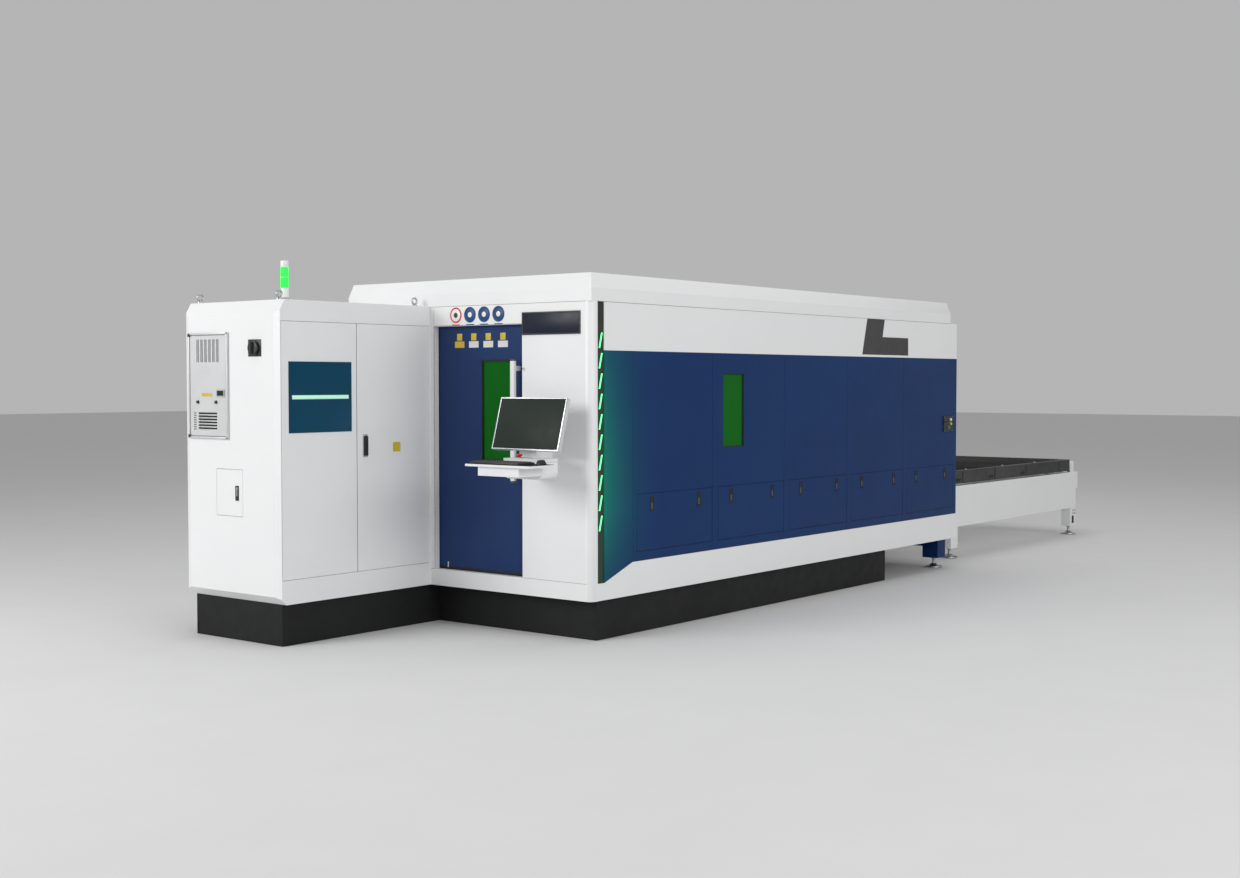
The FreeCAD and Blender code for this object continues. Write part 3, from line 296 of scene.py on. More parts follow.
WHITE = Finish("white_powder_coat", "white_paint", (0.79, 0.795, 0.80), 0.36, drift=0.012, depth=0.00010)
SILVER = Finish("silver_sheet", "white_paint", (0.63, 0.635, 0.64), 0.40, metallic=0.25, drift=0.03)
# the blue paint carries the painted green light of the bars at its near end
BLUE = PaintWithPaintedGlow("blue_powder_coat", "blue_paint", (0.008, 0.034, 0.122), 0.36, gloss=0.10, drift=0.06)
DOOR_BLUE = Finish("door_blue_coat", "blue_paint", (0.014, 0.038, 0.126), 0.36, gloss=0.16, drift=0.05)
BED_BLUE = Finish("bed_blue_enamel", "bed_blue", (0.004, 0.024, 0.105), 0.45, gloss=0.15, drift=0.10,
                  depth=0.0003)
BLACK_SHEET = Finish("plinth_black_coat", "plinth_black", (0.013, 0.0135, 0.0135), 0.6, gloss=0.2, drift=0.10)
# the channel's black carries painted green light from the bars below the first one
CHANNEL = ChannelWithPaintedLight("channel_black", "channel_black", (0.012, 0.014, 0.013), 0.5)
PALLET = Finish("pallet_dark_grey", "pallet_grey", (0.042, 0.043, 0.045), 0.55, metallic=0.25, drift=0.18,
                grain=260.0)
GREEN_PANE = Pane("green_acrylic", "green_pane", (0.002, 0.135, 0.007), 0.16, gloss=0.06, drift=0.05,
                  depth=0.00003)
STEEL = Finish("bright_steel", "bare_steel", (0.56, 0.57, 0.58), 0.26, metallic=1.0,
               stretch=(1.0, 14.0, 14.0))
ZINC = Finish("zinc_plated_steel", "zinc_steel", (0.46, 0.47, 0.48), 0.34, metallic=1.0, grain=420.0)
GALVANISED = Spangled("galvanised_sheet", "galvanised", (0.55, 0.57, 0.58), 0.40, metallic=0.9)
ALUMINIUM = Finish("anodised_aluminium", "head_aluminium", (0.62, 0.63, 0.65), 0.30, metallic=1.0,
                   grain=1500.0)
GREY_PLASTIC = Finish("light_grey_plastic", "grey_plastic", (0.42, 0.43, 0.44), 0.5, drift=0.03)
BLACK_PLASTIC = Finish("black_plastic", "black_plastic", (0.016, 0.016, 0.017), 0.42, drift=0.08,
                       depth=0.0002)
RUBBER = Finish("black_rubber", "black_plastic", (0.012, 0.012, 0.012), 0.75, drift=0.10, depth=0.0003)
SHADOW = Finish("joint_shadow_grey", "black_plastic", (0.20, 0.205, 0.21), 0.8, drift=0.05)
DARK_BLUE = Finish("joint_shadow_blue", "blue_paint", (0.006, 0.012, 0.040), 0.6, drift=0.05)
SCREEN_CASE = Finish("screen_case_dark", "screen_case", (0.030, 0.032, 0.033), 0.40, drift=0.05)
SCREEN_GLASS = Finish("screen_glass", "screen_case", (0.024, 0.032, 0.027), 0.45, gloss=0.10, drift=0.06,
                      depth=0.00002)
RED = Finish("red_plastic", "red_plastic", (0.62, 0.012, 0.010), 0.32, coat=0.3, drift=0.05)
GREEN = Finish("green_plastic", "green_plastic", (0.010, 0.24, 0.030), 0.35, coat=0.3, drift=0.05)
AMBER = Finish("amber_plastic", "amber_plastic", (0.60, 0.45, 0.025), 0.40, drift=0.05)
WHITE_PLASTIC = Finish("white_plastic", "white_plastic", (0.78, 0.78, 0.77), 0.35, drift=0.02)
DISC_BLUE = Finish("disc_blue_film", "blue_paint", (0.010, 0.060, 0.180), 0.35, gloss=0.3, drift=0.04)
BLUE_FILM = Finish("bare_blue_film", "blue_paint", (0.006, 0.056, 0.106), 0.35, gloss=0.10, drift=0.04)
NAVY_FILM = Finish("bare_navy_film", "blue_paint", (0.006, 0.010, 0.024), 0.35, gloss=0.25, drift=0.04)
DEEP_BLUE = Finish("cover_blue_coat", "blue_paint", (0.012, 0.036, 0.130), 0.38, gloss=0.22, drift=0.06)
LABEL_GREY = Finish("bare_label_film", "white_plastic", (0.70, 0.70, 0.70), 0.35, drift=0.02)
PLATE_GREY = Finish("bare_dark_plate", "screen_case", (0.052, 0.052, 0.054), 0.45, gloss=0.25, drift=0.05)
PULL_STEEL = Finish("dark_pull_steel", "zinc_steel", (0.10, 0.11, 0.12), 0.35, metallic=0.7)
KEY_GREY = Finish("key_plastic", "black_plastic", (0.045, 0.046, 0.048), 0.5, drift=0.06)
SLAT_STEEL = Finish("slat_mill_steel", "bare_steel", (0.10, 0.098, 0.095), 0.5, metallic=0.8, drift=0.25,
                    grain=90.0)
BRASS = Finish("nozzle_brass", "zinc_steel", (0.72, 0.48, 0.18), 0.24, metallic=1.0)
GREEN_LENS = Lamp("green_lens", "green_lens", (0.030, 0.92, 0.075), 0.40, gloss=0.08, strength=0.95)
LIGHT_BAR = Lamp("light_bar", "green_lens", (0.16, 0.90, 0.36), 0.30, strength=1.1)

FINISH_OF_SLOT: dict[str, Finish] = {
    finish.slot: finish
    for finish in (
        WHITE, BLUE, BED_BLUE, BLACK_SHEET, CHANNEL, PALLET, GREEN_PANE, STEEL, ZINC, GALVANISED, ALUMINIUM,
        GREY_PLASTIC, BLACK_PLASTIC, SCREEN_CASE, RED, GREEN, AMBER, WHITE_PLASTIC, GREEN_LENS,
    )
}


# ---------------------------------------------------------------- bench work


class Axis(Enum):
    """A direction along, across or up, with the turn that lays an upright shape along it."""

    X = (0.0, math.pi / 2, 0.0)
    Y = (math.pi / 2, 0.0, 0.0)
    Z = (0.0, 0.0, 0.0)

    @property
    def along(self) -> Vector:
        """The unit step in this direction."""
        return {"X": EAST, "Y": NORTH, "Z": UP}[self.name]


def node_box(node: str) -> tuple[Vector, Vector]:
    """Give a node's lowest and highest corners, counted from the enclosure's foot."""
    low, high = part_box(node)
    return low - CORNER, high - CORNER


def select_only(piece: Object) -> None:
    """Make one piece the only selected and active one."""
    bpy.ops.object.select_all(action="DESELECT")
    piece.select_set(True)
    bpy.context.view_layer.objects.active = piece


def settled(name: str) -> Object:
    """Name the primitive just added and put its place into its mesh."""
    piece = bpy.context.object
    piece.name = name
    piece.data.name = name
    select_only(piece)
    bpy.ops.object.transform_apply(location=True, rotation=True, scale=True)
    return piece


def block(name: str, low: Triple, high: Triple) -> Object:
    """Add a block between two corners.

    Args:
        name: what the piece is called.
        low: the corner with the smallest places, from the enclosure's foot.
        high: the corner with the largest places.

    Returns:
        The block.
    """
    first, last = CORNER + Vector(low), CORNER + Vector(high)
    bpy.ops.object.select_all(action="DESELECT")
    bpy.ops.mesh.primitive_cube_add(size=1.0, location=(first + last) / 2, scale=last - first)
    return settled(name)


def rod(name: str, start: Triple, length: float, radius: float, axis: Axis = Axis.Z,
        sides: int = 32) -> Object:
    """Add a round bar.

    Args:
        name: what the piece is called.
        start: the centre of its first end, from the enclosure's foot.
        length: how long it is.
        radius: half its thickness.
        axis: the direction it runs in.
        sides: how many flats make it round.

    Returns:
        The bar.
    """
    centre = CORNER + Vector(start) + axis.along * length / 2
    bpy.ops.object.select_all(action="DESELECT")
    bpy.ops.mesh.primitive_cylinder_add(
        vertices=sides, radius=radius, depth=length, location=centre, rotation=axis.value)
    return settled(name)


def hoop(name: str, centre: Triple, radius: float, wire: float, axis: Axis = Axis.Z) -> Object:
    """Add a ring of round wire about an axis."""
    bpy.ops.object.select_all(action="DESELECT")
    bpy.ops.mesh.primitive_torus_add(
        location=CORNER + Vector(centre), rotation=axis.value, major_radius=radius, minor_radius=wire,
        major_segments=40, minor_segments=8)
    return settled(name)


def choose(piece: Object, facing: Vector) -> Vector:
    """Open a piece for editing with only the faces that look one way selected.

    Args:
        piece: the piece to edit.
        facing: the direction its chosen faces look in.

    Returns:
        The middle of the chosen faces.
    """
    select_only(piece)
    bpy.ops.object.mode_set(mode="EDIT")
    bpy.ops.mesh.select_mode(type="FACE")
    bpy.ops.mesh.select_all(action="DESELECT")
    bpy.ops.object.mode_set(mode="OBJECT")
    chosen = [face for face in piece.data.polygons if face.normal.dot(facing) > 0.98]
    for face in chosen:
        face.select = True
    middle = sum((face.center for face in chosen), Vector()) / max(len(chosen), 1)
    bpy.ops.object.mode_set(mode="EDIT")
    return middle


def sink(piece: Object, facing: Vector, margin: float, depth: float) -> Object:
    """Inset the faces that look one way and push them in, or out with a negative depth."""
    choose(piece, facing)
    bpy.ops.mesh.inset(thickness=margin)
    bpy.ops.mesh.extrude_region_move(TRANSFORM_OT_translate={"value": facing * -depth})
    bpy.ops.object.mode_set(mode="OBJECT")
    return piece


def taper(piece: Object, facing: Vector, factor: Triple) -> Object:
    """Scale the faces that look one way about their middle."""
    middle = choose(piece, facing)
    bpy.ops.transform.resize(value=factor, center_override=middle)
    bpy.ops.object.mode_set(mode="OBJECT")
    return piece


def slide(piece: Object, facing: Vector, shift: Triple) -> Object:
    """Move the faces that look one way."""
    choose(piece, facing)
    bpy.ops.transform.translate(value=shift)
    bpy.ops.object.mode_set(mode="OBJECT")
    return piece


def soften(piece: Object, width: float, steps: int = 2) -> Object:
    """Round a piece's sharp edges."""
    select_only(piece)
    edges = piece.modifiers.new("edges", "BEVEL")
    edges.width = width
    edges.segments = steps
    edges.limit_method = "ANGLE"
    bpy.ops.object.modifier_apply(modifier=edges.name)
    return piece


def lean(piece: Object, pivot: Triple, degrees: float, axis: Axis = Axis.Y) -> Object:
    """Turn a piece about a line through a point."""
    point = CORNER + Vector(pivot)
    turn = Matrix.Rotation(math.radians(degrees), 4, axis.name)
    piece.matrix_world = Matrix.Translation(point) @ turn @ Matrix.Translation(-point)
    select_only(piece)
    bpy.ops.object.transform_apply(location=True, rotation=True, scale=True)
    return piece


def joined(name: str, pieces: Iterable[Object]) -> Object:
    """Join several pieces into one."""
    members = list(pieces)
    bpy.ops.object.select_all(action="DESELECT")
    for piece in members:
        piece.select_set(True)
    bpy.context.view_layer.objects.active = members[0]
    if len(members) > 1:
        bpy.ops.object.join()
    members[0].name = name
    members[0].data.name = name
    return members[0]


def copied(piece: Object, shift: Triple) -> Object:
    """Copy a piece, with a mesh of its own, to another place."""
    twin = piece.copy()
    twin.data = piece.data.copy()
    bpy.context.scene.collection.objects.link(twin)
    twin.data.transform(Matrix.Translation(shift))
    return twin


def repeated(name: str, piece: Object, shifts: Iterable[Triple]) -> Object:
    """Copy a piece to several places and keep them all as one row."""
    return joined(name, [piece] + [copied(piece, shift) for shift in shifts])


def along(step: Triple, count: int) -> list[Triple]:
    """Give the shifts of every further item in an even row."""
    return [tuple(number * part for part in step) for number in range(1, count)]


def fitted(piece: Object, finish: Finish, body: str = MACHINE) -> Object:
    """Finish a piece: its faces outward, its rounds smooth, its material on, riding on its body.

    Args:
        piece: the piece, already in place.
        finish: the finish it gets.
        body: the body it moves with.

    Returns:
        The same piece.
    """
    select_only(piece)
    bpy.ops.object.mode_set(mode="EDIT")
    bpy.ops.mesh.select_all(action="SELECT")
    bpy.ops.mesh.normals_make_consistent(inside=False)
    bpy.ops.object.mode_set(mode="OBJECT")
    bpy.ops.object.shade_smooth_by_angle(angle=math.radians(35))
    piece.data.materials.clear()
    piece.data.materials.append(finish.material())
    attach(piece, body)
    LOG.info("%s rides on %s", piece.name, body)
    return piece


@dataclass
class Screws:
    """Button-head screws with a socket, all looking one way."""

    facing: Axis = Axis.Y
    side: float = -1.0
    radius: float = 0.006
    proud: float = 0.003

    def row(self, name: str, places: list[Triple], body: str = MACHINE, finish: Finish = ZINC) -> Object:
        """Set a screw at each place.

        Args:
            name: what the row is called.
            places: where each screw sits on its surface.
            body: the body the screws ride on.
            finish: their finish.

        Returns:
            All the screws as one piece.
        """
        outward = self.facing.along * self.side
        start = Vector(places[0]) + (outward * self.proud if self.side < 0 else Vector())
        screw = rod(name, tuple(start), self.proud, self.radius, self.facing, 12)
        sink(screw, outward, self.radius * 0.45, self.proud * 0.5)
        first = Vector(places[0])
        return fitted(repeated(name, screw, [tuple(Vector(at) - first) for at in places[1:]]), finish, body)


# ---------------------------------------------------------------- studio


@dataclass
class Studio:
    """The pale floor, the soft lights and the camera around the machine."""

    eye: Triple = (-10.5516, -6.8448, 1.5598)
    heading: float = 38.0607
    dip: float = 2.1557
    lens: float = 44.907
    floor_half: float = 60.0
    floor: Finish = Finish("studio_floor", "white_paint", (0.68, 0.68, 0.68), 0.9, gloss=0.1, drift=0.01,
                           depth=0.00005)
    world_grey: float = 0.46
    end_light: float = 560.0
    side_light: float = 560.0
    top_light: float = 260.0

    def camera(self) -> None:
        """Set the camera that looks along the machine from its operator end."""
        bpy.ops.object.camera_add(location=self.eye)
        camera = bpy.context.object
        camera.name = "camera"
        camera.rotation_euler = (math.radians(90 - self.dip), 0.0, math.radians(self.heading - 90))
        camera.data.lens = self.lens
        camera.data.clip_end = 300.0
        bpy.context.scene.camera = camera

    def ground(self) -> None:
        """Lay the pale floor under the machine."""
        bpy.ops.object.select_all(action="DESELECT")
        bpy.ops.mesh.primitive_plane_add(size=2 * self.floor_half)
        piece = settled("studio_floor")
        piece.data.materials.append(self.floor.material())

    def lamp(self, name: str, place: Triple, aim: Triple, size: Span, power: float) -> None:
        """Hang one large soft light that looks at a point.

        Args:
            name: what the light is called.
            place: where it hangs.
            aim: the point it looks at.
            size: its width and height.
            power: its strength in watts.
        """
        bpy.ops.object.light_add(type="AREA", location=place)
        light = bpy.context.object
        light.name = name
        light.data.shape = "RECTANGLE"
        light.data.size, light.data.size_y = size
        light.data.energy = power
        light.rotation_euler = (Vector(aim) - Vector(place)).to_track_quat("-Z", "Y").to_euler()

    def lights(self) -> None:
        """Hang the soft lights and light the surroundings evenly."""
        self.lamp("end_light", (-13.0, 3.5, 4.5), (-4.0, 0.5, 1.0), (6.0, 4.0), self.end_light)
        self.lamp("side_light", (-4.5, -12.0, 5.0), (-1.0, -1.0, 1.0), (12.0, 4.0), self.side_light)
        self.lamp("top_light", (0.0, 0.0, 9.0), (0.0, 0.0, 0.0), (12.0, 6.0), self.top_light)
        world = bpy.data.worlds.new("studio")
        bpy.context.scene.world = world
        world.use_nodes = True
        world.node_tree.nodes["Background"].inputs["Color"].default_value = (self.world_grey,) * 3 + (1.0,)
        bpy.context.scene.view_settings.view_transform = "Standard"

    def build(self) -> None:
        """Set up the whole studio."""
        self.camera()
        self.ground()
        self.lights()
        LOG.info("studio is set")


# ---------------------------------------------------------------- the CAD nodes


@dataclass
class FrameDress:
    """The finishes and softened edges of the CAD nodes that stay in view."""

    edge: float = 0.0025
    fine_edge: float = 0.0008
    fine: tuple[str, ...] = (
        "access_panel_1", "access_panel_2", "access_panel_3", "access_panel_4", "access_panel_5",
        "cabinet_door_left", "cabinet_door_right", "cabinet_hatch", "station_plate", "scrap_tray",
        "station_stop_button", "station_upper_button", "station_lower_button", "station_start_button",
        "cutting_head", "light_channel", "door_latch", "pallet_tracks", "side_blue_panel",
    )
    plain: tuple[str, ...] = ("lifting_eyes", "upper_pallet", "lower_pallet", "laser_source",
                              "electrical_panel")
    own: tuple[tuple[str, Finish], ...] = (
        ("air_conditioner", SILVER), ("operator_door", DOOR_BLUE), ("rear_blue_panel", DEEP_BLUE),
        ("monitor", SILVER),
    )

    def slots(self) -> dict[str, str]:
        """Give each node's material slot, as the record has it."""
        return {part["node"]: part["material_slot"] for part in frame["record"]["subparts"]}

    def round_edges(self, node: Object) -> None:
        """Weld a node's triangles, drop the flat ones' edges and round what is sharp, as live modifiers."""
        weld = node.modifiers.new("weld", "WELD")
        weld.merge_threshold = 0.00002
        flat = node.modifiers.new("flat", "DECIMATE")
        flat.decimate_type = "DISSOLVE"
        flat.angle_limit = math.radians(0.5)
        edges = node.modifiers.new("edges", "BEVEL")
        edges.width = self.fine_edge if node.name in self.fine else self.edge
        edges.segments = 2
        edges.limit_method = "ANGLE"
        edges.angle_limit = math.radians(40)
        edges.harden_normals = False

    def build(self) -> None:
        """Give every CAD node its finish."""
        slots = self.slots()
        for name, node in frame["nodes"].items():
            finish = dict(self.own).get(name, FINISH_OF_SLOT[slots[name]])
            node.data.materials.clear()
            node.data.materials.append(finish.material())
            if name not in self.plain:
                self.round_edges(node)
            LOG.info("%s is finished in %s", name, finish.name)


# ---------------------------------------------------------------- enclosure


@dataclass
class LightColumn:
    """The leaning green light bars in the black channel beside the near corner."""

    count: int = 10
    pitch: float = 0.121
    foot_x: Span = (0.0705, 0.0835)
    shift: float = 0.024
    first: Span = (1.754, 1.846)
    depth: Span = (0.0012, 0.0075)

    def build(self) -> None:
        """Model one bar with its dark cradle and copy both down the channel."""
        bar = block("light_bars", (self.foot_x[0], self.depth[0], self.first[0]),
                    (self.foot_x[1], self.depth[1], self.first[1]))
        slide(bar, UP, (self.shift, 0.0, 0.0))
        soften(bar, 0.0022)
        cradle = block("light_cradles", (self.foot_x[0] - 0.004, self.depth[0] + 0.003,
                                         self.first[0] - 0.005),
                       (self.foot_x[1] + 0.004, self.depth[1], self.first[1] + 0.005))
        slide(cradle, UP, (self.shift, 0.0, 0.0))
        soften(cradle, 0.001)
        steps = along((0.0, 0.0, -self.pitch), self.count)
        fitted(repeated("light_bars", bar, steps), LIGHT_BAR)
        fitted(repeated("light_cradles", cradle, steps), BLACK_PLASTIC)


@dataclass
class WallSeams:
    """The fine joints where the enclosure's sheets meet, their dark lines laid as strips of painted shade."""

    line: float = 0.0022
    proud: float = 0.0004
    roof_z: float = 2.030
    door_y: Span = (0.546, 1.298)
    door_z: Span = (0.353, 1.905)
    cabinet_y: float = 1.333

    def strip(self, name: str, low: Triple, high: Triple, finish: Finish = SHADOW) -> None:
        """Lay one joint: a flat dark strip with softened edges, its dark line painted shade."""
        fitted(soften(block(name, low, high), self.proud * 0.6, 1), finish)

    def build(self) -> None:
        """Lay the joints of the end wall, the roof and the far side."""
        # the joints are real, their dark lines are painted shade: thin strips standing for the shadow in each
        # gap
        length, width = node_box("hood")[1].x, node_box("hood")[1].y
        half, out = self.line / 2, self.proud
        seam = (self.roof_z - half, self.roof_z + half)
        self.strip("roof_joint_near", (0.050, -out, seam[0]), (length, 0.002, seam[1]))
        self.strip("roof_joint_end", (-out, 0.045, seam[0]), (0.002, width, seam[1]))
        self.strip("roof_joint_far", (0.0, width - 0.002, seam[0]), (length, width + out, seam[1]))
        for name, low, high in (("near", 0.040, self.door_y[0]), ("far", self.door_y[1], self.cabinet_y)):
            self.strip("sill_joint_" + name, (-out, low, self.door_z[0] - half),
                       (0.002, high, self.door_z[0] + half))
        self.strip("door_head_joint", (-out, self.door_y[1], self.door_z[0]),
                   (0.002, self.door_y[1] + self.line, self.roof_z - 0.02))
        self.strip("corner_joint", (0.0565, -out, 0.352), (0.0580, 0.002, self.roof_z))
        self.strip("skirt_joint", (0.4, -out, 0.4530), (node_box("side_blue_panel")[1].x, 0.002, 0.4548),
                   DARK_BLUE)
        self.strip("band_joint", (0.12, -out, 1.7392), (node_box("side_blue_panel")[1].x, 0.002, 1.7410),
                   DARK_BLUE)


@dataclass
class WindowFrame:
    """A black rubber gasket round a viewing pane."""

    name: str
    x: Span
    y: Span
    z: Span
    facing: Axis
    width: float = 0.010
    body: str = MACHINE

    def build(self) -> None:
        """Model four strips with mitre-like overlaps and join them."""
        strips = []
        flat = self.y if self.facing is Axis.X else self.x
        for number, (low, high) in enumerate(((flat[0], flat[0] + self.width),
                                              (flat[1] - self.width, flat[1]))):
            across = (self.x, (low, high)) if self.facing is Axis.X else ((low, high), self.y)
            strips.append(block("%s_side_%d" % (self.name, number), (across[0][0], across[1][0], self.z[0]),
                                (across[0][1], across[1][1], self.z[1])))
        for number, (low, high) in enumerate(((self.z[0], self.z[0] + self.width),
                                              (self.z[1] - self.width, self.z[1]))):
            strips.append(block("%s_rail_%d" % (self.name, number), (self.x[0], self.y[0], low),
                                (self.x[1], self.y[1], high)))
        frame_piece = joined(self.name, [soften(strip, 0.0015) for strip in strips])
        fitted(frame_piece, RUBBER, self.body)


@dataclass
class EndWallPlates:
    """The bare plate and discs on the operator end wall."""

    name_y: Span = (0.084, 0.543)
    name_z: Span = (1.838, 1.976)
    disc_y: tuple[float, ...] = (1.103, 0.981, 0.861, 0.740)
    disc_z: float = 1.973
    disc_radius: float = 0.049
    proud: float = 0.003

    def name_plate(self) -> None:
        """Model the framed plate beside the corner, with its blue field left bare."""
        plate = block("name_plate_frame", (-self.proud - 0.004, self.name_y[0], self.name_z[0]),
                      (0.001, self.name_y[1], self.name_z[1]))
        soften(sink(plate, -EAST, 0.008, 0.002), 0.001)
        fitted(plate, BLACK_PLASTIC)
        field_piece = block("name_plate_field", (-self.proud - 0.0035, self.name_y[0] + 0.009,
                                                 self.name_z[0] + 0.009),
                            (0.0, self.name_y[1] - 0.009, self.name_z[1] - 0.009))
        fitted(soften(field_piece, 0.0008), NAVY_FILM)

    def discs(self) -> None:
        """Model the four round markers: one red ring and three blue, on white grounds."""
        for number, across in enumerate(self.disc_y):
            finish = RED if number == 0 else DISC_BLUE
            start = (-self.proud, across, self.disc_z)
            ring = rod("marker_ring_%d" % number, start, self.proud, self.disc_radius, Axis.X, 48)
            soften(sink(ring, -EAST, self.disc_radius * 0.16, 0.0012), 0.0004)
            fitted(ring, finish)
            ground = rod("marker_ground_%d" % number, (-self.proud + 0.0004, across, self.disc_z), self.proud,
                         self.disc_radius * 0.80, Axis.X, 48)
            fitted(soften(ground, 0.0004), WHITE_PLASTIC if number == 0 else DISC_BLUE)
            dot = rod("marker_dot_%d" % number, (-self.proud - 0.0004, across, self.disc_z), self.proud,
                      self.disc_radius * 0.34, Axis.X, 32)
            fitted(soften(dot, 0.0004), BLACK_PLASTIC if number == 0 else WHITE_PLASTIC)
            line = block("marker_line_%d" % number, (-0.0015, across - 0.034, self.disc_z - 0.064),
                         (0.001, across + 0.034, self.disc_z - 0.058))
            fitted(soften(line, 0.0008), finish)

    def build(self) -> None:
        """Fix every plate and the lock."""
        self.name_plate()
        self.discs()
        rose = rod("door_lock", (-0.004, 0.532, 1.632), 0.005, 0.010, Axis.X, 24)
        fitted(soften(sink(rose, -EAST, 0.004, 0.002), 0.0006), ZINC)


@dataclass
class SidePlate:
    """The bare dark plate on the long side's white band: a broad foot with a leaning leaf on it."""

    foot: Span = (3.227, 3.957)
    foot_z: Span = (1.7585, 1.8945)
    foot_shrink: float = 0.9466
    foot_shift: float = 0.0175
    leaf: Span = (3.264, 3.537)
    leaf_shift: float = 0.0355
    top: float = 2.029
    proud: float = 0.0025

    def leaf_of(self, name: str, x: Span, z: Span, shrink: float, shift: float) -> Object:
        """Model one leaf whose top edge is shorter than its foot and shifted along.

        Args:
            name: what the leaf is called.
            x: where its foot runs along the machine.
            z: its foot and its top.
            shrink: its top edge's length over its foot's.
            shift: how far its top edge is shifted along.

        Returns:
            The leaf.
        """
        piece = block(name, (x[0], -self.proud, z[0]), (x[1], 0.001, z[1]))
        taper(piece, UP, (shrink, 1.0, 1.0))
        return slide(piece, UP, (shift, 0.0, 0.0))

    def build(self) -> None:
        """Model the foot and the leaning leaf, and join them."""
        foot = self.leaf_of("side_plate_foot", self.foot, self.foot_z, self.foot_shrink, self.foot_shift)
        leaf = self.leaf_of("side_plate_leaf", self.leaf, (self.foot_z[1], self.top), 0.982, self.leaf_shift)
        fitted(joined("side_plate", [foot, leaf]), PLATE_GREY)


@dataclass
class AccessDetails:
    """The recessed pulls, their paddles and the hinge knuckles of one lower access panel."""

    number: int
    start: float
    pulls: tuple[float, float] = (0.155, 0.660)
    pull_width: float = 0.036
    pull_z: Span = (0.748, 0.845)
    panel_z: Span = (0.510, 0.865)
    panel_width: float = 0.810

    def build(self) -> None:
        """Model one pull and one knuckle and copy each along the panel."""
        body = "access_panel_%d" % self.number
        left = self.start + self.pulls[0]
        half = self.pull_width / 2
        step = (self.pulls[1] - self.pulls[0], 0.0, 0.0)
        bezel = block(body + "_pulls", (left - half, -0.0022, self.pull_z[0]),
                      (left + half, 0.0012, self.pull_z[1]))
        soften(sink(bezel, -NORTH, 0.005, 0.0018), 0.0006)
        fitted(repeated(body + "_pulls", bezel, [step]), RUBBER, body)
        paddle = block(body + "_paddles", (left - half + 0.009, -0.0016, self.pull_z[0] + 0.016),
                       (left + half - 0.009, 0.0008, self.pull_z[1] - 0.040))
        soften(taper(paddle, -NORTH, (0.8, 1.0, 0.92)), 0.0005)
        fitted(repeated(body + "_paddles", paddle, [step]), PULL_STEEL, body)
        knuckle = rod(body + "_knuckles", (self.start + 0.09, 0.0012, self.panel_z[0] + 0.010), 0.07,
                      0.0028, Axis.X, 12)
        soften(knuckle, 0.0008, 1)
        steps = along(((self.panel_width - 0.25) / 2, 0.0, 0.0), 3)
        fitted(repeated(body + "_knuckles", knuckle, steps), DARK_BLUE, body)


# ---------------------------------------------------------------- operator door


@dataclass
class OperatorDoor:
    """The sliding door's gasket, bare tags, kick strip and handle ends."""

    body: str = "operator_door"
    pane_y: Span = (0.662, 0.928)
    pane_z: Span = (1.059, 1.690)
    leaf_face: float = 0.045
    handle_y: Span = (0.594, 0.625)
    handle_z: Span = (0.936, 1.691)
    tag_y: tuple[float, ...] = (1.1144, 0.9917, 0.8679, 0.7441)
    tag_z: Span = (1.8136, 1.8579)
    label_z: Span = (1.7683, 1.8086)

    def tags(self) -> None:
        """Model the row of small amber tags and the plain plates under them."""
        tag = block("amber_tags", (self.leaf_face - 0.0015, self.tag_y[0] - 0.022, self.tag_z[0]),
                    (self.leaf_face + 0.001, self.tag_y[0] + 0.022, self.tag_z[1]))
        soften(tag, 0.0008)
        shifts = [(0.0, across - self.tag_y[0], 0.0) for across in self.tag_y[1:]]
        fitted(repeated("amber_tags", tag, shifts), AMBER, self.body)
        label = block("label_plates", (self.leaf_face - 0.0015, self.tag_y[1] - 0.041, self.label_z[0]),
                      (self.leaf_face + 0.001, self.tag_y[1] + 0.041, self.label_z[1]))
        soften(sink(label, -EAST, 0.003, 0.0006), 0.0003)
        first = copied(label, (0.0, self.tag_y[0] - self.tag_y[1], 0.0))
        first.name = "label_plate_amber"
        fitted(repeated("label_plates", label, [(0.0, at - self.tag_y[1], 0.0) for at in self.tag_y[2:]]),
               LABEL_GREY, self.body)
        fitted(first, AMBER, self.body)

    def build(self) -> None:
        """Model what the door leaf carries."""
        self.tags()
        pin = block("door_bolt", (self.leaf_face - 0.0035, 1.219, 0.364),
                    (self.leaf_face + 0.001, 1.225, 0.400))
        fitted(soften(pin, 0.001), WHITE_PLASTIC, self.body)
        WindowFrame("door_gasket", (self.leaf_face - 0.002, self.leaf_face + 0.009), self.pane_y, self.pane_z,
                    Axis.X, 0.009, self.body).build()
        for name, z in (("lower", self.handle_z[0]), ("upper", self.handle_z[1] - 0.010)):
            cap = block("handle_cap_" + name, (-0.0230, self.handle_y[0] - 0.001, z),
                        (-0.0010, self.handle_y[1] + 0.001, z + 0.010))
            fitted(soften(cap, 0.002), BLACK_PLASTIC, self.body)
        kick = block("door_kick_strip", (self.leaf_face - 0.0015, 0.548, 0.356),
                     (self.leaf_face + 0.001, 1.296, 0.372))
        fitted(soften(kick, 0.0008), RUBBER, self.body)
        track = block("door_track_cover", (-0.0012, 0.546, 1.9065), (0.010, 1.298, 1.9095))
        fitted(soften(track, 0.0008), SHADOW)


# ---------------------------------------------------------------- electrical cabinet


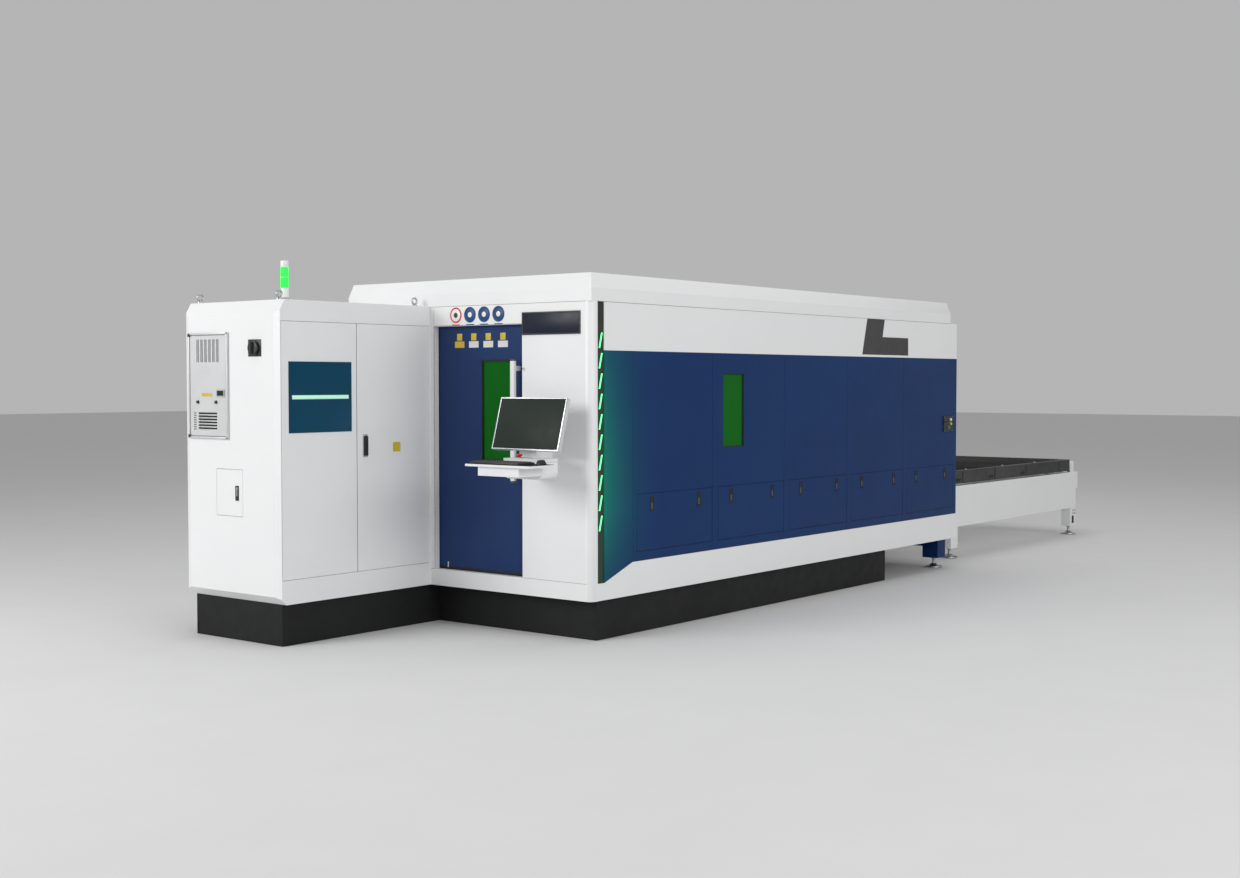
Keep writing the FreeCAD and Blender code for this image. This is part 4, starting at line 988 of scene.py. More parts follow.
@dataclass
class CabinetEmblem:
    """The bare blue panel on the cabinet's left door, crossed by one straight line of green light."""

    x: Span = (-1.160, -0.674)
    z: Span = (1.253, 1.673)
    face: float = 1.333
    proud: float = 0.0030
    body: str = "cabinet_left_door"

    def build(self) -> None:
        """Model the panel, its light line and the line's frame."""
        panel = block("emblem_panel", (self.x[0], self.face - self.proud, self.z[0]),
                      (self.x[1], self.face + 0.001, self.z[1]))
        fitted(soften(sink(panel, -NORTH, 0.006, 0.0008), 0.0006), BLUE_FILM, self.body)
        middle = (self.z[0] + self.z[1]) / 2
        line_x = (self.x[0] + 0.030, self.x[1] - 0.030)
        bed = block("emblem_line_bed", (line_x[0] - 0.006, self.face - self.proud - 0.0006, middle - 0.012),
                    (line_x[1] + 0.006, self.face - 0.001, middle + 0.012))
        fitted(soften(bed, 0.0006), WHITE_PLASTIC, self.body)
        line = block("emblem_line", (line_x[0], self.face - self.proud - 0.0020, middle - 0.006),
                     (line_x[1], self.face - 0.001, middle + 0.006))
        fitted(soften(taper(line, -NORTH, (0.99, 1.0, 0.7)), 0.0006), LIGHT_BAR, self.body)


@dataclass
class CabinetFront:
    """What the cabinet's doors carry besides the emblem: lock plate, amber tag and hinges."""

    face: float = 1.333
    latch_x: Span = (-0.577, -0.549)
    latch_z: Span = (1.101, 1.224)
    tag_x: Span = (-0.331, -0.268)
    tag_z: Span = (1.117, 1.176)
    door_z: Span = (0.391, 1.909)
    door_x: Span = (-1.215, -0.015)
    hinge_z: tuple[float, ...] = (0.56, 1.15, 1.74)

    def build(self) -> None:
        """Model the door furniture."""
        keep = block("latch_plate", (self.latch_x[0] - 0.007, self.face - 0.0008, self.latch_z[0] - 0.010),
                     (self.latch_x[1] + 0.007, self.face + 0.001, self.latch_z[1] + 0.008))
        fitted(soften(keep, 0.0004), GREY_PLASTIC, "cabinet_right_door")
        pad = block("latch_pad", (self.latch_x[0] + 0.005, self.face - 0.0140, self.latch_z[0] + 0.006),
                    (self.latch_x[1] - 0.005, self.face - 0.0125, self.latch_z[1] - 0.034))
        fitted(soften(pad, 0.0006), RUBBER, "latch")
        tag = block("cabinet_tag", (self.tag_x[0], self.face - 0.0015, self.tag_z[0]),
                    (self.tag_x[1], self.face + 0.001, self.tag_z[1]))
        fitted(soften(sink(tag, -NORTH, 0.005, 0.0004), 0.0003), AMBER, "cabinet_right_door")
        for side, x in (("left", self.door_x[0]), ("right", self.door_x[1])):
            body = "cabinet_%s_door" % side
            inward = 1.0 if side == "left" else -1.0
            knuckle = rod(body + "_hinges", (x + inward * 0.0075, self.face + 0.0045, self.hinge_z[0]), 0.06,
                          0.0035, Axis.Z, 12)
            soften(knuckle, 0.0008, 1)
            shifts = [(0.0, 0.0, z - self.hinge_z[0]) for z in self.hinge_z[1:]]
            fitted(repeated(body + "_hinges", knuckle, shifts), ZINC, body)


@dataclass
class AirConditioner:
    """The cooling unit's front: its inner panel, filter, display, knobs and corner clips."""

    face: float = -1.246
    y: Span = (1.786, 2.160)
    z: Span = (1.211, 1.849)
    recess_shade_width: float = 0.005
    slot_y: Span = (1.867, 2.083)
    louvre_z: Span = (1.262, 1.378)

    def rim(self) -> None:
        """Model the folded rim round the front, with thin dark strips of painted shade inside it for the
        shadow of the front's recess.
        """
        sides = [
            ((self.y[0], self.y[0] + 0.012), self.z), ((self.y[1] - 0.012, self.y[1]), self.z),
            (self.y, (self.z[0], self.z[0] + 0.012)), (self.y, (self.z[1] - 0.012, self.z[1])),
        ]
        strips = [soften(block("rim_%d" % number, (self.face - 0.005, y[0], z[0]),
                               (self.face + 0.002, y[1], z[1])), 0.002)
                  for number, (y, z) in enumerate(sides)]
        fitted(joined("cooler_rim", strips), SILVER)
        inner_y = (self.y[0] + 0.012, self.y[1] - 0.012)
        inner_z = (self.z[0] + 0.012, self.z[1] - 0.012)
        # painted shade: dark strips that stand for the shadow where the front sits back from the rim
        lines = [
            ((inner_y[0], inner_y[0] + self.recess_shade_width), inner_z),
            ((inner_y[1] - self.recess_shade_width, inner_y[1]), inner_z),
            (inner_y, (inner_z[0], inner_z[0] + self.recess_shade_width)),
            (inner_y, (inner_z[1] - self.recess_shade_width, inner_z[1])),
        ]
        recess_shade_lines = [soften(block("groove_%d" % number, (self.face - 0.0006, y[0], z[0]),
                                (self.face + 0.001, y[1], z[1])), 0.0002, 1)
                   for number, (y, z) in enumerate(lines)]
        fitted(joined("cooler_groove", recess_shade_lines), SHADOW)

    def vents(self) -> None:
        """Model the fins in the upper slots and the blades in the louvres."""
        fin = block("cooler_fins", (self.face - 0.0012, self.slot_y[0] + 0.0125, 1.674),
                    (self.face + 0.006, self.slot_y[0] + 0.0145, 1.806))
        soften(fin, 0.0004, 1)
        fitted(repeated("cooler_fins", fin, along((0.0, 0.038, 0.0), 6)), SILVER)
        backing = block("cooler_slot_backing", (self.face + 0.0066, self.slot_y[0] - 0.002, 1.670),
                        (self.face + 0.0078, self.slot_y[1] + 0.010, 1.810))
        fitted(soften(backing, 0.0003, 1), GREY_PLASTIC)
        blade = block("cooler_blades", (self.face - 0.002, 1.889, self.louvre_z[0] + 0.002),
                      (self.face + 0.006, 2.068, self.louvre_z[0] + 0.006))
        slide(blade, -EAST, (0.0, 0.0, -0.004))
        soften(blade, 0.0006, 1)
        fitted(repeated("cooler_blades", blade, along((0.0, 0.0, 0.018), 6)), SILVER)
        mesh = block("cooler_louvre_backing", (self.face + 0.0066, 1.886, self.louvre_z[0]),
                     (self.face + 0.0078, 2.071, self.louvre_z[1]))
        fitted(soften(mesh, 0.0003, 1), RUBBER)
        dot = rod("cooler_filter_dots", (self.face - 0.0008, 2.0920, 1.266), 0.002, 0.0045, Axis.X, 10)
        soften(dot, 0.0003, 1)
        shifts = [(0.0, 0.012 * column,
                   0.014 * row) for row in range(8) for column in range(2) if row or column]
        fitted(repeated("cooler_filter_dots", dot, shifts), BLACK_PLASTIC)

    def controls(self) -> None:
        """Model the display, the amber plate and the two knobs."""
        display = block("cooler_display", (self.face - 0.006, 1.812, 1.463),
                        (self.face + 0.001, 1.886, 1.507))
        fitted(soften(sink(display, -EAST, 0.006, 0.002), 0.001), GREY_PLASTIC)
        glass = block("cooler_display_glass", (self.face - 0.0048, 1.819, 1.470), (self.face, 1.879, 1.500))
        fitted(soften(glass, 0.0004), SCREEN_GLASS)
        plate = block("cooler_amber_plate", (self.face - 0.0012, 1.932, 1.466),
                      (self.face + 0.001, 2.031, 1.486))
        fitted(soften(plate, 0.0005), AMBER)
        for number, across in enumerate((1.892, 2.067)):
            knob = rod("cooler_knob_%d" % number, (self.face - 0.010, across, 1.431), 0.011, 0.011, Axis.X,
                       24)
            fitted(soften(taper(knob, -EAST, (1.0, 0.8, 0.8)), 0.001), BLACK_PLASTIC)

    def clips(self) -> None:
        """Model the dark clips on the left edge and the corner screws."""
        clip = block("cooler_clips", (self.face - 0.0065, self.y[1] - 0.022, self.z[0] + 0.004),
                     (self.face - 0.001, self.y[1] + 0.002, self.z[0] + 0.022))
        soften(clip, 0.0015)
        fitted(repeated("cooler_clips", clip, [(0.0, 0.0, 0.612)]), BLACK_PLASTIC)
        corners = [(self.face - 0.005, y, z) for y in (self.y[0] + 0.006, self.y[1] - 0.006)
                   for z in (self.z[0] + 0.006, self.z[1] - 0.006)]
        Screws(Axis.X, -1.0, 0.004, 0.002).row("cooler_screws", corners)

    def build(self) -> None:
        """Model the whole front."""
        self.rim()
        self.vents()
        self.controls()
        self.clips()


@dataclass
class CabinetSide:
    """The isolator's base plate and mark, and the service hatch's latch and hinges."""

    face: float = -1.234
    isolator_y: Span = (1.483, 1.604)
    isolator_z: Span = (1.702, 1.803)
    hatch_y: Span = (1.665, 1.913)
    hatch_z: Span = (0.750, 1.032)

    def build(self) -> None:
        """Model what stands on the cabinet's outer side."""
        base = block("isolator_base", (self.face - 0.0009, self.isolator_y[0], self.isolator_z[0]),
                     (self.face + 0.001, self.isolator_y[1], self.isolator_z[1]))
        fitted(soften(base, 0.0006), BLACK_PLASTIC)
        face = block("isolator_mark", (self.face - 0.0404, 1.5395, 1.758), (self.face - 0.039, 1.5465, 1.784))
        fitted(soften(face, 0.0003, 1), WHITE_PLASTIC, "isolator")
        latch = block("hatch_latch", (self.face - 0.0060, 1.703, 0.846), (self.face + 0.001, 1.729, 0.934))
        fitted(soften(sink(latch, -EAST, 0.005, 0.002), 0.001), RUBBER, "hatch")
        paddle = block("hatch_paddle", (self.face - 0.0055, 1.711, 0.872), (self.face - 0.001, 1.721, 0.926))
        fitted(soften(paddle, 0.0008), ZINC, "hatch")
        hinge = rod("hatch_hinges", (self.face + 0.0045, self.hatch_y[1] - 0.0075, self.hatch_z[0] + 0.04),
                    0.045,
                    0.0035, Axis.Z, 12)
        soften(hinge, 0.0006, 1)
        fitted(repeated("hatch_hinges", hinge, [(0.0, 0.0, 0.155)]), ZINC, "hatch")


@dataclass
class CabinetRear:
    """The cabinet's back: a service sheet's joint and its vents, set just under the face."""

    face: float = 2.215
    x: Span = (-1.15, -0.08)
    z: Span = (0.42, 1.90)

    def build(self) -> None:
        """Model the back, all of it let into the cabinet's depth."""
        out = self.face - 0.0002
        seam = [
            ((self.x[0], self.x[1]), (self.z[0], self.z[0] + 0.003)),
            ((self.x[0], self.x[1]), (self.z[1], self.z[1] + 0.003)),
            ((self.x[0], self.x[0] + 0.003), self.z), ((self.x[1] - 0.003, self.x[1]), self.z),
        ]
        strips = [soften(block("seam_%d" % number, (x[0], out - 0.002, z[0]), (x[1], out + 0.0001, z[1])),
                         0.0001, 1)
                  for number, (x, z) in enumerate(seam)]
        fitted(joined("cabinet_back_joint", strips), SHADOW)
        blade = block("cabinet_back_vents", (-0.80, out - 0.010, 1.62), (-0.42, out, 1.632))
        slide(blade, NORTH, (0.0, 0.0, -0.003))
        soften(blade, 0.0004, 1)
        fitted(repeated("cabinet_back_vents", blade, along((0.0, 0.0, 0.024), 8)), BLACK_PLASTIC)


@dataclass
class SignalTower:
    """The signal light: its green lens, the seams between its tiers and the cap."""

    lens_height: float = 0.129

    def build(self) -> None:
        """Model the lens with its cap in place of the plain round."""
        low, high = node_box("tower_lens")
        x, y = (low.x + high.x) / 2, (low.y + high.y) / 2
        radius = (high.x - low.x) / 2
        seat = low.z
        lens = rod("tower_lens_lit", (x, y, seat), self.lens_height, radius, Axis.Z, 48)
        soften(lens, 0.003)
        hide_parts("tower_lens")
        fitted(lens, GREEN_LENS)
        ring = hoop("tower_rings", (x, y, seat + 0.002), radius - 0.0015, 0.002)
        fitted(repeated("tower_rings", ring, [(0.0, 0.0, self.lens_height / 2),
                                              (0.0, 0.0, self.lens_height - 0.003)]),
               WHITE_PLASTIC)
        cap = rod("tower_cap", (x, y, seat + self.lens_height), high.z - seat - self.lens_height, radius,
                  Axis.Z, 48)
        fitted(soften(cap, 0.004, 3), WHITE_PLASTIC)
        collar = rod("tower_collar", (x, y, node_box("tower_pole")[0].z + 0.008), 0.012, 0.030, Axis.Z, 32)
        fitted(soften(collar, 0.002), GREY_PLASTIC)


# ---------------------------------------------------------------- operator console


@dataclass
class Screen:
    """The leaning screen's silver edge, dark glass and rear vents."""

    pivot: Triple = (-0.285, 0.0, 1.155)
    degrees: float = 16.0
    y: Span = (0.0205, 0.5355)
    height: float = 0.318
    thick: float = 0.032
    border: float = 0.007

    def upright(self, name: str, x: Span, y: Span, z: Span) -> Object:
        """Model a block on the screen as if it stood upright, then lean it back."""
        low = (self.pivot[0] + x[0], y[0], self.pivot[2] + z[0])
        high = (self.pivot[0] + x[1], y[1], self.pivot[2] + z[1])
        return block(name, low, high)

    def build(self) -> None:
        """Model the screen's face and back."""
        edge = self.upright("screen_edge", (-0.003, 0.003), (self.y[0] - 0.0012, self.y[1] + 0.0012),
                            (-0.0012, self.height + 0.0012))
        soften(sink(edge, -EAST, self.border, 0.002), 0.0008)
        fitted(lean(edge, self.pivot, self.degrees), ALUMINIUM, "screen")
        inner = (self.y[0] + self.border, self.y[1] - self.border)
        glass = self.upright("screen_glass", (-0.0022, 0.001), inner,
                             (self.border, self.height - self.border))
        fitted(lean(soften(glass, 0.0006), self.pivot, self.degrees), SCREEN_GLASS, "screen")
        slot = self.upright("screen_vents", (self.thick - 0.001, self.thick + 0.0015), (0.12, 0.43),
                            (0.250, 0.254))
        soften(slot, 0.0006, 1)
        row = repeated("screen_vents", slot, along((0.0, 0.0, 0.010), 5))
        fitted(lean(row, self.pivot, self.degrees), RUBBER, "screen")


@dataclass
class Keys:
    """The keyboard: a low wedge with rows of keys, in place of the plain slab."""

    rows: int = 5
    columns: int = 14
    margin: float = 0.010
    gap: float = 0.003
    rise: float = 0.004

    def build(self) -> None:
        """Model the base and one key, and copy the key over the base."""
        low, high = node_box("keyboard")
        base = block("keyboard_base", tuple(low), (high.x, high.y, high.z - self.rise))
        soften(base, 0.003)
        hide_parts("keyboard")
        fitted(base, BLACK_PLASTIC)
        deep = (high.x - low.x - 2 * self.margin + self.gap) / self.rows
        wide = (high.y - low.y - 2 * self.margin + self.gap) / self.columns
        start = (low.x + self.margin, low.y + self.margin, high.z - self.rise - 0.0005)
        key = block("keyboard_keys", start, (start[0] + deep - self.gap, start[1] + wide - self.gap,
                                             high.z - 0.0002))
        taper(key, UP, (0.78, 0.82, 1.0))
        soften(key, 0.0008, 1)
        shifts = [(deep * row, wide * column,
                   0.0) for row in range(self.rows) for column in range(self.columns)
                  if row or column]
        fitted(repeated("keyboard_keys", key, shifts), KEY_GREY)


@dataclass
class Console:
    """What lies and stands on the operator console."""

    tray_x: Span = (-0.522, -0.303)
    tray_y: Span = (0.031, 0.525)
    tray_top: float = 1.076

    def build(self) -> None:
        """Model the mat, the pointer wedge and the button collar."""
        Screen().build()
        Keys().build()
        mat = block("tray_mat", (self.tray_x[0], self.tray_y[0], self.tray_top - 0.001),
                    (self.tray_x[1], self.tray_y[1], self.tray_top + 0.0015))
        fitted(soften(mat, 0.001), RUBBER)
        low, high = node_box("estop_button")
        across = (low.y + high.y) / 2
        middle = (low.x + high.x) / 2
        collar = rod("estop_collar", (middle, across, 1.1042), 0.0045, 0.024, Axis.Z, 32)
        fitted(soften(sink(collar, UP, 0.009, 0.002), 0.0006), GREY_PLASTIC)
        pointer = block("pointer_wedge", (-0.412, 0.048, self.tray_top + 0.0015),
                        (-0.342, 0.085, self.tray_top + 0.030))
        taper(pointer, UP, (0.6, 0.6, 1.0))
        fitted(soften(pointer, 0.006, 4), BLACK_PLASTIC)
        seam = block("console_deck_joint", (-0.2996, 0.1275, 1.0845), (-0.160, 0.4285, 1.0858))
        fitted(soften(seam, 0.0003, 1), SHADOW)


@dataclass
class Station:
    """The push buttons' collars and the plate's screws of the station near the exit."""

    buttons: tuple[str, ...] = ("stop", "upper", "lower", "start")

    def build(self) -> None:
        """Model one collar per button and the plate's screws."""
        low, high = node_box("station_plate")
        for name in self.buttons:
            first, last = node_box("station_%s_button" % name)
            middle = ((first.x + last.x) / 2, low.y - 0.0028, (first.z + last.z) / 2)
            collar = rod("station_collar_" + name, middle, 0.0030, 0.0150, Axis.Y, 32)
            sink(collar, -NORTH, 0.0032, 0.0010)
            fitted(soften(collar, 0.0003), ZINC)
        corners = [(x, low.y, z) for x in (low.x + 0.008, high.x - 0.008) for z in (low.z + 0.008,
                                                                                    high.z - 0.008)]
        Screws(Axis.Y, -1.0, 0.0035, 0.0015).row("station_screws", corners)


# ---------------------------------------------------------------- pallets and their table


@dataclass
class ToothedPallet:
    """One pallet in full: side bars, cross bars, bright knobs, notches and toothed slats."""

    which: str
    side_gap: float = 0.0
    notched: bool = True
    slats: int = 30
    bar: float = 0.060
    frame_height: float = 0.115
    slat_thick: float = 0.004
    slat_height: float = 0.065
    tooth: float = 0.032
    tooth_height: float = 0.016
    knobs: tuple[float, ...] = (0.12, 0.75, 1.52, 2.26)
    notches: tuple[float, ...] = (0.53, 1.20, 1.90)
    seams: tuple[float, ...] = (0.65, 1.32, 2.02, 2.82)

    def bars(self, low: Vector, high: Vector) -> None:
        """Model the two side bars with their end blocks, and the two cross bars."""
        top = low.z + self.frame_height
        bars = []
        near = (low.y + self.side_gap, low.y + self.bar)
        far = (high.y - self.bar, high.y - self.side_gap)
        for number, y in enumerate((near, far)):
            bar = block("bar_%d" % number, (low.x, y[0], low.z), (high.x, y[1], top))
            sink(bar, -NORTH if number == 0 else NORTH, 0.010, 0.0025)
            bars.append(soften(bar, 0.003))
        for number, x in enumerate(((low.x, low.x + self.bar), (high.x - self.bar, high.x))):
            bars.append(soften(block("cross_%d" % number, (x[0], low.y + self.bar, low.z),
                                     (x[1], high.y - self.bar, top)), 0.003))
        frame_piece = joined(self.which + "_frame", bars)
        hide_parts(self.which)
        fitted(frame_piece, PALLET, self.which)

    def grate(self, low: Vector, high: Vector) -> None:
        """Model one toothed slat and copy it along the pallet."""
        pitch = (high.x - low.x - 2 * self.bar) / (self.slats + 1)
        x = low.x + self.bar + pitch - self.slat_thick / 2
        y = (low.y + self.bar, high.y - self.bar)
        count = round((y[1] - y[0]) / self.tooth)
        wide = (y[1] - y[0]) / count
        root = high.z - self.tooth_height
        strip = block("slat_strip", (x, y[0], high.z - self.slat_height), (x + self.slat_thick, y[1], root))
        tooth = block("slat_tooth", (x, y[0], root - 0.001), (x + self.slat_thick, y[0] + wide, high.z))
        taper(tooth, UP, (1.0, 0.12, 1.0))
        teeth = repeated("slat_teeth", tooth, along((0.0, wide, 0.0), count))
        slat = joined(self.which + "_slats", [strip, teeth])
        fitted(repeated(self.which + "_slats", slat, along((pitch, 0.0, 0.0), self.slats)), SLAT_STEEL,
               self.which)

    def clamps(self, low: Vector, high: Vector) -> None:
        """Model the bright knobs on the bars' tops."""
        top = low.z + self.frame_height
        knob = rod(self.which + "_knobs", (low.x + self.knobs[0], low.y + 0.022, top - 0.001), 0.0108,
                   0.011, Axis.Z, 16)
        soften(knob, 0.003)
        far = high.y - low.y - 0.044
        shifts = [(at - self.knobs[0], across, 0.0) for at in self.knobs for across in (0.0, far)]
        fitted(repeated(self.which + "_knobs", knob, shifts[1:]), ZINC, self.which)

    def side_marks(self, low: Vector) -> None:
        """Model the dark notches and joints in the near bar's outer face."""
        top = low.z + self.frame_height
        notch = block(self.which + "_notches", (low.x + self.notches[0], low.y - 0.0016, low.z + 0.022),
                      (low.x + self.notches[0] + 0.075, low.y + 0.004, low.z + 0.046))
        soften(sink(notch, -NORTH, 0.006, 0.0015), 0.0012)
        shifts = [(at - self.notches[0], 0.0, 0.0) for at in self.notches[1:]]
        fitted(repeated(self.which + "_notches", notch, shifts), RUBBER, self.which)
        seam = block(self.which + "_seams", (low.x + self.seams[0], low.y - 0.0008, low.z + 0.001),
                     (low.x + self.seams[0] + 0.004, low.y + 0.003, top - 0.001))
        soften(seam, 0.0005, 1)
        shifts = [(at - self.seams[0], 0.0, 0.0) for at in self.seams[1:]]
        fitted(repeated(self.which + "_seams", seam, shifts), RUBBER, self.which)

    def build(self) -> None:
        """Model the whole pallet."""
        low, high = node_box(self.which)
        self.bars(low, high)
        self.grate(low, high)
        self.clamps(low, high)
        if self.notched:
            self.side_marks(low)


@dataclass
class TableDetails:
    """The exchange table's bolts, leg windows and stop pads."""

    bolt: float = 0.009
    window: Span = (0.115, 0.190)

    def legs(self) -> None:
        """Model the dark slot windows in the legs' ends and sides."""
        low, high = node_box("table_legs")
        near = (low.y, low.y + 0.098)
        for number, y in enumerate((near, (high.y - near[1] + near[0], high.y))):
            east = high.x
            slot = block("leg_window_%d" % number, (east - 0.002, y[0] + 0.030, self.window[0]),
                         (east + 0.0012, y[1] - 0.030, self.window[1]))
            fitted(soften(sink(slot, EAST, 0.005, 0.001), 0.0006), RUBBER)
            side = block("leg_slot_%d" % number, (east - 0.099, y[0] - 0.0012, self.window[0]),
                         (east - 0.049, y[0] + 0.002, self.window[1]))
            fitted(soften(sink(side, -NORTH, 0.005, 0.001), 0.0006), RUBBER)

    def bolts(self) -> None:
        """Set bolt heads on the end box and the outer near leg."""
        leg = node_box("table_legs")
        places = [(leg[1].x - across, leg[0].y, height)
                  for across in (0.026, 0.074) for height in (0.215, 0.245)]
        Screws(Axis.Y, -1.0, self.bolt, 0.004).row("table_bolts_leg", places)
        end = node_box("table_end_beam")
        places = [(end[1].x, y, end[0].z + 0.083) for y in (end[0].y + 0.05, end[1].y - 0.05)]
        Screws(Axis.X, 1.0, self.bolt, 0.004).row("table_bolts_end",
                                                  [(x - 0.0045, y, z) for x, y, z in places])

    def stops(self) -> None:
        """Model the rubber pads on the end stops."""
        for side in ("near", "far"):
            low, high = node_box("table_beam_" + side)
            across = (low.y + 0.006, low.y + 0.034) if side == "near" else (high.y - 0.034, high.y - 0.006)
            stop_x = node_box("upper_pallet")[1].x + 0.0056
            pad = block("stop_pad_" + side, (stop_x + 0.001, across[0], 0.640),
                        (stop_x + 0.010, across[1], 0.652))
            fitted(soften(pad, 0.002), RUBBER)

    def build(self) -> None:
        """Model all of it."""
        self.legs()
        self.bolts()
        self.stops()


# ---------------------------------------------------------------- gantry, head and cabinet inside


@dataclass
class GantryDetails:
    """The gantry's motors, cable tray and chain, the carriage's cover and motor and the head's rings and
    connectors.
    """

    def beam(self) -> None:
        """Model the drive motors, cable tray and cable chain that ride on the beam."""
        low, high = node_box("gantry_beam")
        for side, y in (("near", low.y + 0.20), ("far", high.y - 0.34)):
            motor = block("gantry_motor_" + side, (low.x + 0.04, y, high.z - 0.001),
                          (low.x + 0.16, y + 0.14, high.z + 0.20))
            fitted(soften(sink(motor, UP, 0.010, -0.012), 0.006), BLACK_PLASTIC, "gantry")
        tray = block("gantry_cable_tray", (low.x + 0.05, low.y + 0.45, high.z - 0.001),
                     (low.x + 0.15, high.y - 0.45, high.z + 0.05))
        fitted(soften(sink(tray, UP, 0.006, 0.035), 0.0015), ZINC, "gantry")
        link = block("gantry_chain", (low.x + 0.060, low.y + 0.47, high.z + 0.052),
                     (low.x + 0.140, low.y + 0.50, high.z + 0.092))
        sink(link, UP, 0.006, 0.004)
        soften(link, 0.002, 1)
        fitted(repeated("gantry_chain", link, along((0.0, 0.036, 0.0), 28)), BLACK_PLASTIC, "gantry")

    def carriage(self) -> None:
        """Model the carriage's raised cover and its motor."""
        low, high = node_box("carriage")
        cover = block("carriage_cover", (low.x + 0.004, low.y - 0.004, high.z - 0.10),
                      (high.x - 0.004, high.y + 0.004, high.z + 0.03))
        fitted(soften(sink(cover, UP, 0.012, 0.004), 0.004), WHITE, "carriage")
        motor = rod("carriage_motor", ((low.x + high.x) / 2, (low.y + high.y) / 2 + 0.06, high.z + 0.029),
                    0.10, 0.022,
                    Axis.Z, 24)
        fitted(soften(motor, 0.003), BLACK_PLASTIC, "carriage")

    def head(self) -> None:
        """Model the head's ring seams, sensor collar, nozzle and fibre connector."""
        low, high = node_box("cutting_head")
        x = high.x - 0.034
        y = (low.y + high.y) / 2
        ring = hoop("head_rings", (x, y, low.z + 0.115), 0.0335, 0.002)
        fitted(repeated("head_rings", ring, [(0.0, 0.0, z) for z in (0.06, 0.14, 0.22, 0.28)]),
               BLACK_PLASTIC, "head")
        collar = rod("head_sensor", (x, y, low.z + 0.014), 0.012, 0.015, Axis.Z, 32)
        fitted(soften(collar, 0.002), BRASS, "head")
        port = rod("head_fibre_port", (x, y, high.z - 0.002), 0.050, 0.016, Axis.Z, 24)
        fitted(soften(taper(port, UP, (0.7, 0.7, 1.0)), 0.003), ZINC, "head")

    def build(self) -> None:
        """Model all of it."""
        self.beam()
        self.carriage()
        self.head()


@dataclass
class SwitchGear:
    """Rows of breakers on the cabinet's mounting plate, and the light source's face."""

    rows: tuple[Span, ...] = ((1.635, 1.765), (1.375, 1.485))
    width: float = 0.018
    count: int = 38

    def build(self) -> None:
        """Model one breaker and copy it along each row, then the light source's grille."""
        front = node_box("electrical_panel")[1].y
        back = {0: front - 0.120, 1: front - 0.110}
        for number, (low, high) in enumerate(self.rows):
            breaker = block("breakers_%d" % number, (-0.960, back[number] - 0.012, low + 0.01),
                            (-0.960 + self.width - 0.001, back[number] + 0.004, high - 0.01))
            sink(breaker, -NORTH, 0.003, -0.004)
            soften(breaker, 0.0008, 1)
            fitted(repeated("breakers_%d" % number, breaker, along((self.width, 0.0, 0.0), self.count)),
                   GREY_PLASTIC)
        source = node_box("laser_source")
        grille = block("source_grille", (source[0].x + 0.10, source[0].y - 0.003, source[0].z + 0.06),
                       (source[0].x + 0.38, source[0].y + 0.001, source[0].z + 0.066))
        soften(grille, 0.001, 1)
        fitted(repeated("source_grille", grille, along((0.0, 0.0, 0.014), 14)), RUBBER)
        handle = block("source_handles", (source[0].x + 0.05, source[0].y - 0.035, source[0].z + 0.10),
                       (source[0].x + 0.066, source[0].y + 0.001, source[0].z + 0.24))
        soften(handle, 0.005)
        fitted(repeated("source_handles", handle, [(source[1].x - source[0].x - 0.116, 0.0, 0.0)]), ZINC)


# ---------------------------------------------------------------- roof and far side


@dataclass
class Roof:
    """The roof's joint strips and their screws."""

    joints: int = 4
    height: float = 2.200

    def build(self) -> None:
        """Lay raised cover strips over the joints and screw them down."""
        low, high = node_box("hood")
        step = (high.x - low.x) / (self.joints + 1)
        strip = block("roof_strips", (low.x + step - 0.03, low.y + 0.06, self.height - 0.001),
                      (low.x + step + 0.03, high.y - 0.06, self.height + 0.003))
        soften(strip, 0.001)
        fitted(repeated("roof_strips", strip, along((step, 0.0, 0.0), self.joints)), WHITE)
        places = [(low.x + step * joint + side, low.y + 0.12 + 0.31 * row, self.height + 0.003)
                  for joint in range(1, self.joints + 1) for side in (-0.02, 0.02) for row in range(7)]
        Screws(Axis.Z, 1.0, 0.005, 0.002).row("roof_screws", places)


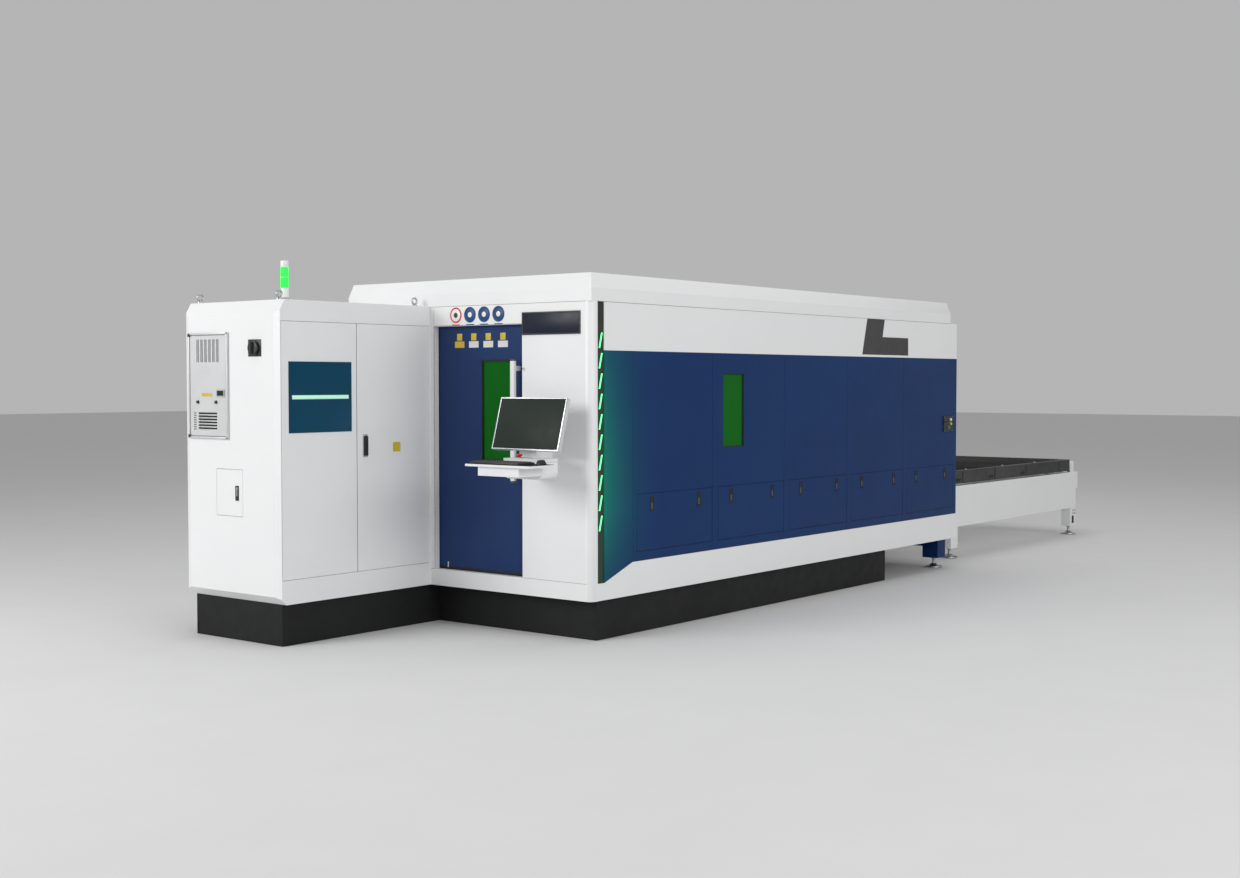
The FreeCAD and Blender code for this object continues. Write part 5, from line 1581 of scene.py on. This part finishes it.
@dataclass
class FarSide:
    """The far side's sheet joints, service covers, vents and exhaust collar."""

    face: float = 2.102
    seams: tuple[float, ...] = (1.02, 1.95, 2.88, 3.81)
    cover_x: tuple[float, ...] = (0.30, 1.23, 2.16, 3.09, 4.00)
    cover_z: Span = (0.52, 0.88)
    cover_width: float = 0.62
    exhaust: tuple[float, float] = (4.30, 1.45)

    def build(self) -> None:
        """Model the far side's furniture, within the cabinet's depth."""
        seam = block("far_seams", (self.seams[0], self.face - 0.001, 0.456),
                     (self.seams[0] + 0.0025, self.face + 0.0004, 1.738))
        soften(seam, 0.0002, 1)
        shifts = [(at - self.seams[0], 0.0, 0.0) for at in self.seams[1:]]
        fitted(repeated("far_seams", seam, shifts), DARK_BLUE)
        cover = block("far_covers", (self.cover_x[0], self.face - 0.001, self.cover_z[0]),
                      (self.cover_x[0] + self.cover_width, self.face + 0.004, self.cover_z[1]))
        soften(sink(cover, NORTH, 0.020, 0.001), 0.001)
        shifts = [(at - self.cover_x[0], 0.0, 0.0) for at in self.cover_x[1:]]
        fitted(repeated("far_covers", cover, shifts), DEEP_BLUE)
        slot = block("far_vents", (self.cover_x[0] + 0.12, self.face + 0.0028, self.cover_z[0] + 0.10),
                     (self.cover_x[0] + 0.50, self.face + 0.0065, self.cover_z[0] + 0.112))
        slide(slot, NORTH, (0.0, 0.0, -0.004))
        soften(slot, 0.0008, 1)
        shifts = [(at - self.cover_x[0], 0.0, 0.026 * row) for at in self.cover_x for row in range(7)]
        fitted(repeated("far_vents", slot, shifts[1:]), BLACK_PLASTIC)
        collar = rod("exhaust_collar", (self.exhaust[0], self.face - 0.001, self.exhaust[1]), 0.085, 0.125,
                     Axis.Y, 64)
        sink(collar, NORTH, 0.004, 0.070)
        fitted(soften(collar, 0.0015), GALVANISED)
        flange = rod("exhaust_flange", (self.exhaust[0], self.face - 0.001, self.exhaust[1]), 0.006, 0.155,
                     Axis.Y, 64)
        fitted(soften(flange, 0.0015), GALVANISED)
        ring = [(self.exhaust[0] + 0.140 * math.cos(turn), self.face + 0.005,
                 self.exhaust[1] + 0.140 * math.sin(turn))
                for turn in (math.tau * step / 8 for step in range(8))]
        Screws(Axis.Y, 1.0, 0.006, 0.003).row("exhaust_screws", ring)


# ---------------------------------------------------------------- the whole machine


ACCESS_PANELS = 5
FIRST_PANEL = 0.4385
PANEL_PITCH = 0.879
SIDE_WINDOW_X: Span = (1.375, 1.620)
SIDE_WINDOW_Y: Span = (0.0015, 0.0105)
SIDE_WINDOW_Z: Span = (1.120, 1.607)
GASKET_WIDTH = 0.006


def main() -> None:
    """Dress the machine from its operator end to its table, and set it in the studio."""
    pieces = [
        FrameDress(), LightColumn(), WallSeams(),
        WindowFrame("side_gasket", SIDE_WINDOW_X, SIDE_WINDOW_Y, SIDE_WINDOW_Z, Axis.Y, GASKET_WIDTH),
        EndWallPlates(), SidePlate(),
        *(AccessDetails(number + 1, FIRST_PANEL + PANEL_PITCH * number) for number in range(ACCESS_PANELS)),
        OperatorDoor(), CabinetEmblem(), CabinetFront(), AirConditioner(), CabinetSide(), CabinetRear(),
        SignalTower(), Console(), Station(), ToothedPallet("upper_pallet"),
        ToothedPallet("lower_pallet", side_gap=0.001, notched=False),
        TableDetails(), GantryDetails(), SwitchGear(), Roof(), FarSide(), Studio(),
    ]
    for piece in pieces:
        piece.build()
        LOG.info("%s built", type(piece).__name__)


if __name__ == "__main__":
    main()
